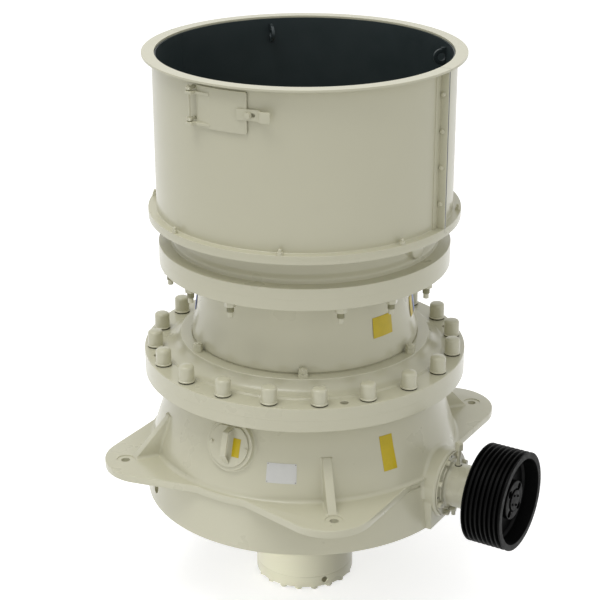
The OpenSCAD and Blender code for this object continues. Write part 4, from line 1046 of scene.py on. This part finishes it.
class HopperOperator(bpy.types.Operator):
    """Makes the hopper's two halves with rim, foot, lining and seam bars"""
    bl_idname = "crusher.hopper"
    bl_label = "Hopper"

    LAP = 20 * MM                # of the hatch door over the wall
    LAP_ANGLE = math.degrees(LAP / R_HOPPER)
    HATCH_TOP = Z_RIM - 34 * MM
    HATCH_LOW = HATCH_TOP - 215 * MM
    # The window's two angles and two heights
    WINDOW = (-100.1 + LAP_ANGLE, -79.5 - LAP_ANGLE, HATCH_LOW + LAP, HATCH_TOP - LAP)
    # Distances in from the hopper's outside
    WALL_IN, LINING_OUT, LINING_IN = 12 * MM, 12.3 * MM, 22.3 * MM
    BAR_IN, BAR_OUT = 4.5 * MM, 11.2 * MM      # faces of a seam bar, from the seam

    def execute(self, context):
        s = sizes()
        gap = math.degrees(0.5 * MM / R_HOPPER)
        front = stations(-180 + gap, self.WINDOW[0], self.WINDOW[1], -gap)
        back = stations(gap, 180 - gap)
        heights = [Z_FOOT_TOP, self.WINDOW[2], self.WINDOW[3], Z_WALL_TOP]
        for node, deep, shallow, finish, slot in (
                ("hopper_wall", self.WALL_IN, 0, "enamel_sheet", "cream_paint"),
                ("hopper_lining", self.LINING_IN, self.LINING_OUT, "lining", "dark_lining")):
            radii = R_HOPPER - deep, R_HOPPER - shallow
            halves = [curved_panel("front", *radii, heights, front, finish, self.WINDOW),
                      curved_panel("back", *radii, [Z_FOOT_TOP, Z_WALL_TOP], back, finish)]
            finish_piece(join(node + "s", halves), "root", slot, node + "_front", node + "_back")
        rims, feet = [], []
        rim_in, foot_in = R_HOPPER - 14 * MM, R_HOPPER - self.LINING_IN
        rim = [(rim_in, Z_WALL_TOP), (R_RIM, Z_WALL_TOP), (R_RIM, Z_RIM), (rim_in, Z_RIM)]
        foot = [(foot_in, Z_RING_TOP), (R_FOOT, Z_RING_TOP, TIGHT), (R_FOOT, Z_FOOT_TOP),
                (foot_in, Z_FOOT_TOP)]
        for start in (3 * gap, 180 + 3 * gap):
            span = (start, start + 180 - 6 * gap)
            rims.append(turned("rim", rim, "enamel_sheet", 96, 1.6 * MM, 3, *span))
            feet.append(turned("foot", foot, "enamel_sheet", 96, 2.5 * MM, 3, *span))
            feet.append(self.ring_weld(Z_FOOT_TOP, 1, s.weld, *span))
            rims.append(self.ring_weld(Z_WALL_TOP, -1, s.weld * 0.7, *span))
        finish_piece(join("hopper_rims", rims), "root", "cream_paint",
                     "hopper_rim_front", "hopper_rim_back")
        finish_piece(join("hopper_feet", feet), "root", "cream_paint",
                     "hopper_foot_front", "hopper_foot_back")
        self.seams()
        self.foot_bolts(s.foot_bolt)
        return {"FINISHED"}

    @staticmethod
    def ring_weld(z, up, leg, a0, a1):
        """Hollow weld round the hopper's wall, above a ring if up is 1 and under it if up is -1."""
        section = seam_section((R_HOPPER, z), (R_HOPPER + leg, z), (R_HOPPER, z + up * leg), 1.5 * MM, 0.25)
        return make("weld", *lathe(section[::up], 96, a0, a1), "enamel_sheet", 50)

    def seams(self):
        """Bars along the upright seams, with their seals and bolts."""
        bars, bolts, seals = [], [], []
        for turn in (turn_z(0), turn_z(180)):
            for side in (-1, 1):
                bars += [moved(piece, turn) for piece in self.seam_bar(side)]
                bolts.append(moved(self.seam_bolts(side), turn))
            seals += [moved(piece, turn) for piece in self.seam_seals()]
        finish_piece(join("hopper_seam_seals", seals), "root", "seal_rubber")
        finish_piece(join("hopper_seam_bar_pairs", bars), "root", "cream_paint", "hopper_seam_bars")
        finish_piece(join("hopper_seam_bolts", bolts), "root", "cream_paint")

    def seam_bar(self, side):
        """A bar that stands out from the wall beside the seam, and its strip along the wall."""
        root = R_HOPPER - 1.5 * MM
        y0, y1 = sorted((side * self.BAR_IN, side * self.BAR_OUT))
        leg = block("leg", (root, y0, Z_FOOT_TOP), (R_HOPPER + 46 * MM, y1, Z_WALL_TOP),
                    "enamel_sheet", 1 * MM)
        angles = sorted(side * math.degrees(y * MM / R_HOPPER) for y in (9, 24, 40, 57))
        foot = curved_panel("foot", root, R_HOPPER + 4 * MM, [Z_FOOT_TOP, Z_WALL_TOP], angles, "enamel_sheet",
                            edge=0.8 * MM)
        return [leg, foot]

    def seam_bolts(self, side):
        """The row of round-headed bolts on one face of the seam."""
        head = flat([(0, 0), (14, 0), (14, 4.5), (12.5, 9), (8, 13), (0, 14)])
        head = turned("head", head, "enamel_sheet", 40, 0.8 * MM)
        washer = disc("washer", 11, -0.2, 1, "enamel_sheet", 40, 0.2)
        bolt = moved(join("bolt", [head, washer]),
                     shift(0, side * self.BAR_OUT, 0) @ Matrix.Rotation(-side * math.pi / 2, 4, "X"))
        return row_of("row", bolt, 4, (R_HOPPER + 19 * MM, 0, Z_FOOT_TOP + 137 * MM), (0, 0, 196.5 * MM),
                      "enamel_sheet")

    def seam_seals(self):
        """The grey seal between the bars, and between the halves of the rim and foot."""
        wall_in, thin = R_HOPPER - self.WALL_IN, 1.5 * MM
        spans = [((R_HOPPER + MM, -self.BAR_IN, Z_FOOT_TOP), (R_HOPPER + 46.3 * MM, self.BAR_IN, Z_WALL_TOP))]
        for r, low, high in ((R_RIM, Z_WALL_TOP, Z_RIM), (R_FOOT, Z_RING_TOP, Z_FOOT_TOP)):
            spans.append(((wall_in, -thin, low + MM), (r - 0.6 * MM, thin, high - 0.3 * MM)))
        return [block("seal", low, high, "grey_seal", 0.3 * MM) for low, high in spans]

    @staticmethod
    def foot_bolts(width):
        """Nuts and bolt ends round the hopper's foot."""
        nut = hexagon("nut", width, 3 * MM, 17 * MM, "enamel_sheet")
        end = turned("end", flat([(0, 16), (9, 16), (9, 28), (6, 32), (0, 32)]), "enamel_sheet", 24, 1 * MM)
        washer = disc("washer", 17, 0, 3, "enamel_sheet", 32, 0.8)
        bolts = ring_of("hopper_foot_bolts", join("bolt", [nut, end, washer]), 8, 843 * MM, Z_FOOT_TOP,
                        "enamel_sheet", first=22.2, twist=50)
        finish_piece(bolts, "root", "cream_paint")


class PulleyOperator(bpy.types.Operator):
    """Makes the grooved pulley and its bush's screws"""
    bl_idname = "crusher.pulley"
    bl_label = "Pulley"

    GROOVES = 8
    MARGIN = 4                   # beside the outer grooves, in millimetres

    def execute(self, context):
        r, back, front = in_mm((PULLEY_HIGH.z - PULLEY_LOW.z) / 2, PULLEY_LOW.x, PULLEY_HIGH.x)
        web = front - 92
        pitch = (front - back - 2 * self.MARGIN) / self.GROOVES
        profile = [(r - 35, back), (r, back)]
        for i in range(self.GROOVES):
            mid = back + self.MARGIN + pitch * (i + 0.5)
            profile += [(r, mid - 10.5), (r - 22, mid - 5), (r - 22, mid + 5), (r, mid + 10.5)]
        profile += [(r, front), (r - 35, front), (r - 41, web + 12), (r - 53, web), (116, web),
                    (104, web + 12), (104, front - 67), (88, front - 67), (88, web - 64), (104, web - 64),
                    (104, web - 34), (r - 47, web - 34)]
        rim = lathe(rounded(flat(profile), 2.2 * MM, 3, 1.5 * MM), 160)
        finish_piece(along_x(make("pulley_wheel", *rim, "iron", 30)), "pulley", "black_iron", "pulley")
        screw = flat([(0, 0), (7, 0), (7, 5), (4.5, 5), (4.5, 2), (0, 2)])
        screw = turned("screw", screw, "iron", 24, 0.5 * MM)
        screws = ring_of("bush_screws", screw, 4, 36 * MM, (front - 31) * MM, "iron", first=20)
        finish_piece(along_x(screws), "pulley", "black_iron")
        return {"FINISHED"}


class PinionHousingOperator(bpy.types.Operator):
    """Makes the pinion housing with its flange bolts, jacking holes painted as dark discs, and breather"""
    bl_idname = "crusher.pinion_housing"
    bl_label = "Pinion housing"

    def execute(self, context):
        back, front = in_mm(*(corner.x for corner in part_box("pinion_housing")))
        face = front - 174       # of the flange that is bolted to the shell's boss
        profile = [(55.3, back), (149.7, back), (149.7, face - 20), (183, face - 20), (183, face),
                   (148, face), (147, face + 5), (142, face + 8), (134, face + 8.5), (128, face + 12),
                   (124, face + 22), (124, front), (112, front), (110, front - 5), (64, front - 5),
                   (55.3, front - 5)]
        body = along_x(turned("pinion_housing_casting", flat(profile), "enamel", 128))
        finish_piece(body, "root", "cream_paint", "pinion_housing")
        r = sizes().housing_bolt / 2 / MM
        head = turned("head", flat([(0, 0), (r, 0), (r, 16), (r - 2, 19), (0, 19.5)]), "enamel", 32, 1 * MM)
        bolt = join("bolt", [head, disc("washer", r + 2, 0, 2.5, "enamel", 32, 0.6)])
        bolts = ring_of("pinion_housing_bolts", bolt, 8, 165.5 * MM, face * MM, "enamel", first=22.5)
        finish_piece(along_x(bolts), "root", "cream_paint")
        # Painted shade: each jacking hole is a thin dark disc on the flange face in place of a cut hole
        hole = make("hole", *lathe(flat([(0, 0.2), (6.5, 0.2), (6.5, 0.7), (0, 0.7)]), 24), "rubber")
        hole_shades = ring_of("pinion_housing_jack_holes", hole, 4, 172 * MM, face * MM, "rubber", first=4)
        finish_piece(along_x(hole_shades), "root", "seal_rubber")
        self.breather()
        return {"FINISHED"}

    @staticmethod
    def breather():
        """The breather's pipe, nut and lid on the housing, with a ring under them painted dark olive for the
        shade at the pipe's foot.
        """
        low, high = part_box("housing_breather")
        place = shift((low.x + high.x) / 2, 0, 0)
        top, foot = in_mm(high.z, Z_PINION + 122 * MM)
        pipe = flat([(0, foot), (17, foot), (17, foot + 9), (9, foot + 10), (9, foot + 57), (13.5, foot + 58),
                     (13.5, top - 46), (0, top - 46)])
        pipe = turned("pipe", pipe, "enamel", 40, 1.2 * MM)
        nut = hexagon("nut", 42 * MM, (top - 46) * MM, (top - 6) * MM, "enamel")
        lid = turned("lid", flat([(0, top - 7), (18, top - 7), (16, top), (0, top)]), "enamel", 40, 1 * MM)
        breather = moved(join("breather_pipe", [pipe, nut, lid]), place)
        finish_piece(breather, "root", "cream_paint", "housing_breather")
        # Painted shade at the pipe's foot, in the same dark olive as the rings under the caps
        seal = disc("breather_seal", 20.5, foot + 0.5, foot + 4.5, "olive_seal", 40, 0.8, inner=15)
        finish_piece(moved(seal, place), "root", "seal_rubber")


class CylinderOperator(bpy.types.Operator):
    """Makes the hydraulic cylinder's barrel"""
    bl_idname = "crusher.cylinder"
    bl_label = "Cylinder"

    def execute(self, context):
        low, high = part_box("hydraulic_cylinder")
        barrel = disc("cylinder_barrel", *in_mm(high.x, low.z, high.z), "enamel", 160, 3)
        finish_piece(barrel, "root", "cream_paint", "hydraulic_cylinder")
        return {"FINISHED"}


class FittingsOperator(bpy.types.Operator):
    """Rounds the edges of the small castings, lugs, plates and fittings"""
    bl_idname = "crusher.fittings"
    bl_label = "Fittings"

    # Piece, node, finish, slot, and the rounding of its edges, its bends and its outer corners in millimetres
    FITTINGS = (
        ("lifting_lug_plates", "hopper_lifting_lugs", "lining", "dark_lining", 2.0),
        ("hinge_lug_plates", "hatch_hinge_lugs", "enamel_sheet", "cream_paint", 1.2),
        ("hinge_pin_rod", "hatch_hinge_pin", "enamel_sheet", "cream_paint", 1.0),
        ("door_panel", "hatch_door", "enamel_sheet", "cream_paint", 1.2, 0.0, 12.0),
        ("door_seal_strip", "hatch_seal", "rubber", "seal_rubber", 0.8),
        ("strap_bar", "hatch_strap", "enamel_sheet", "cream_paint", 1.2, 6.0),
        ("strap_bolt_set", "hatch_strap_bolt", "enamel_sheet", "cream_paint", 0.8),
        ("spider_bridge", "spider", "enamel", "cream_paint", 6.0),
        ("spider_dome", "spider_cap", "manganese", "manganese_casting", 4.0),
        ("arm_shield_covers", "spider_arm_shields", "manganese", "manganese_casting", 5.0),
        ("concave_casting", "concave_ring", "manganese", "manganese_casting", 4.0),
        ("mantle_casting", "mantle", "manganese", "manganese_casting", 4.0),
        ("hub_casting", "lower_hub", "enamel", "cream_paint", 5.0),
        ("cover_disc", "inspection_cover", "enamel", "cream_paint", 4.0),
        ("cover_bow_handle", "inspection_handle", "enamel", "cream_paint", 1.6, 16.0),
        ("drain_plug", "housing_drain", "enamel", "cream_paint", 1.2),
        ("cylinder_end", "cylinder_cover", "enamel", "cream_paint", 9.0),
        ("cylinder_bolt_heads", "cylinder_bolts", "enamel", "cream_paint", 3.5),
        ("bush_casting", "pulley_bush", "iron", "black_iron", 1.5),
        ("nameplate_sheet", "nameplate", "nameplate", "plain_nameplate", 0.4),
        ("yellow_plate_sheets", "yellow_plates", "yellow", "yellow_sheet", 0.4),
        ("blue_plate_sheet", "blue_plates", "blue", "blue_sheet", 0.4),
    )

    def execute(self, context):
        bodies = frame["record"]["behaviour"]["bodies"]
        for name, node, material, slot, width, *more in self.FITTINGS:
            bend, corner = (more + [0.0, 0.0])[:2]
            body = next(key for key, members in bodies.items() if node in members)
            shape = self.thin_leaves if node == "hatch_door" else None
            piece = softened(name, node, material, width * MM, bend * MM, corner * MM, shape)
            finish_piece(piece, body, slot, node)
        finish_piece(self.rivets(), "root", "plain_nameplate")
        return {"FINISHED"}

    @staticmethod
    def thin_leaves(bm):
        """The door's hinge leaves taper along the panel, to a fifth of their depth at the tip."""
        foot = min(v.co.z for v in bm.verts) + 0.1 * MM
        panel = [v.co for v in bm.verts if v.co.z < foot]
        face = max(math.hypot(p.x, p.y) for p in panel)
        start = min(math.atan2(p.y, p.x) for p in panel)
        leaf = [v for v in bm.verts if math.hypot(v.co.x, v.co.y) > face + 5 * MM
                and math.atan2(v.co.y, v.co.x) > start + math.radians(0.8)]
        reach = max(math.atan2(v.co.y, v.co.x) for v in leaf) - start
        for v in leaf:
            r = math.hypot(v.co.x, v.co.y)
            thin = 1 - 0.8 * (math.atan2(v.co.y, v.co.x) - start) / reach
            v.co.xy *= (face + (r - face) * thin) / r

    @staticmethod
    def rivets():
        """A round-headed rivet in each corner of the nameplate."""
        turns = [math.atan2(v.co.y, v.co.x) for v in frame["nodes"]["nameplate"].data.vertices]
        low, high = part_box("nameplate")
        side, inset, reach = 0.007, 6 * MM, 9 * MM
        profile = flat([(0, 0), (3.4, 0), (3.2, 2.2), (1.8, 3.4), (0, 3.6)])
        heads = []
        for angle in (min(turns) + side, max(turns) - side):
            for z in (low.z + inset, high.z - inset):
                fall = radius_at(SHELL_LINE, z - reach) - radius_at(SHELL_LINE, z + reach)
                lean = math.atan2(fall, 2 * reach)
                head = turned("head", profile, "steel", 16, 0.4 * MM)
                heads.append(moved(head, turn_z(math.degrees(angle)) @ shift(radius_at(SHELL_LINE, z), 0, z)
                                   @ Matrix.Rotation(math.pi / 2 - lean, 4, "Y")))
        return join("nameplate_rivets", heads)


class StageOperator(bpy.types.Operator):
    """Makes the floor, the lights, the world and the camera"""
    bl_idname = "crusher.stage"
    bl_label = "Stage"

    def execute(self, context):
        scene = context.scene
        scene.view_settings.view_transform = "Standard"
        self.floor(cad_box[0].z, 40)
        world = bpy.data.worlds.new("studio")
        scene.world = world
        world.use_nodes = True
        tree = world.node_tree
        feed(tree, tree.nodes["Background"], {
            "Color": (1, 1, 1, 1), "Strength": spread(tree, self.seen(tree), 0, 1, 0.60, 1.0)})
        self.lamp("key", (-1.6, -3.8, 13.0), 8.5, 720, 0.8)
        self.lamp("side", (6.5, -2.6, 4.0), 4.0, 42, 0.8, glossy=False)
        self.lamp("fill", (-0.7, -2.9, -0.70), 1.2, 10, -0.8, glossy=False)
        self.lamp("low", (-0.5, -2.7, -0.92), 0.6, 3, -0.92, glossy=False, beam=26.0)
        camera = linked("camera", bpy.data.cameras.new("camera"))
        camera.location = (4.465, -7.504, 4.406)
        camera.rotation_euler = (math.radians(90 - 22.07), 0, math.radians(30.75))
        camera.data.lens = 100.24
        camera.data.sensor_width = 36
        camera.data.shift_x = -0.00796
        scene.camera = camera
        return {"FINISHED"}

    def floor(self, z, half):
        """A square floor, lit up where the camera or a reflection sees it."""
        mesh = bpy.data.meshes.new("floor")
        corners = [(-half, -half, z), (half, -half, z), (half, half, z), (-half, half, z)]
        mesh.from_pydata(corners, [], [(0, 1, 2, 3)])
        material, tree = material_tree("floor")
        feed(tree, tree.nodes["Principled BSDF"], {
            "Base Color": (0.8, 0.8, 0.8, 1), "Roughness": 1.0, "Specular IOR Level": 0.0,
            "Emission Color": (1, 1, 1, 1),
            "Emission Strength": spread(tree, self.seen(tree), 0, 1, 0.0, 0.62)})
        mesh.materials.append(material)
        return linked("floor", mesh)

    @staticmethod
    def seen(tree):
        """1 for rays from the camera, a glossy surface or glass, and 0 for the rest."""
        path = tree.nodes.new("ShaderNodeLightPath").outputs
        direct = sums(tree, "MAXIMUM", path["Is Camera Ray"], path["Is Glossy Ray"])
        return sums(tree, "MAXIMUM", direct, path["Is Transmission Ray"])

    @staticmethod
    def lamp(name, place, size, power, height, glossy=True, beam=180.0):
        """A round lamp that looks at a height on the crusher's axis."""
        light = bpy.data.lights.new(name, "AREA")
        light.shape = "DISK"
        light.size = size
        light.energy = power
        light.spread = math.radians(beam)
        obj = linked(name, light)
        obj.location = place
        obj.visible_glossy = glossy
        obj.visible_camera = False
        aim = Vector((0, 0, height)) - Vector(place)
        obj.rotation_euler = aim.to_track_quat("-Z", "Y").to_euler()


OPERATORS = (
    FinishesOperator, HopperOperator, SpiderRingOperator, TopShellOperator, FlangeFastenersOperator,
    CollarStudsOperator, BottomShellOperator, MountingPlateOperator, PinionHousingOperator, PulleyOperator,
    CylinderOperator, FittingsOperator, StageOperator,
)


class CrusherPanel(bpy.types.Panel):
    """Lists the crusher's sizes, finishes and pieces"""
    bl_idname = "VIEW3D_PT_crusher"
    bl_label = "Cone crusher"
    bl_space_type = "VIEW_3D"
    bl_region_type = "UI"
    bl_category = "Crusher"

    def draw(self, context):
        layout = self.layout
        for group in (context.scene.crusher_sizes, context.scene.crusher_finishes):
            for key in group.bl_rna.properties.keys():
                if key not in ("rna_type", "name"):
                    layout.prop(group, key)
        for operator in OPERATORS:
            layout.operator(operator.bl_idname)


CLASSES = (CrusherFinishes, CrusherSizes, *OPERATORS, CrusherPanel)


def register():
    for item in CLASSES:
        bpy.utils.register_class(item)
    bpy.types.Scene.crusher_finishes = bpy.props.PointerProperty(type=CrusherFinishes)
    bpy.types.Scene.crusher_sizes = bpy.props.PointerProperty(type=CrusherSizes)


def unregister():
    del bpy.types.Scene.crusher_sizes
    del bpy.types.Scene.crusher_finishes
    for item in reversed(CLASSES):
        bpy.utils.unregister_class(item)


def main():
    register()
    for operator in OPERATORS:
        group, name = operator.bl_idname.split(".")
        getattr(getattr(bpy.ops, group), name)()


if __name__ == "__main__":
    main()
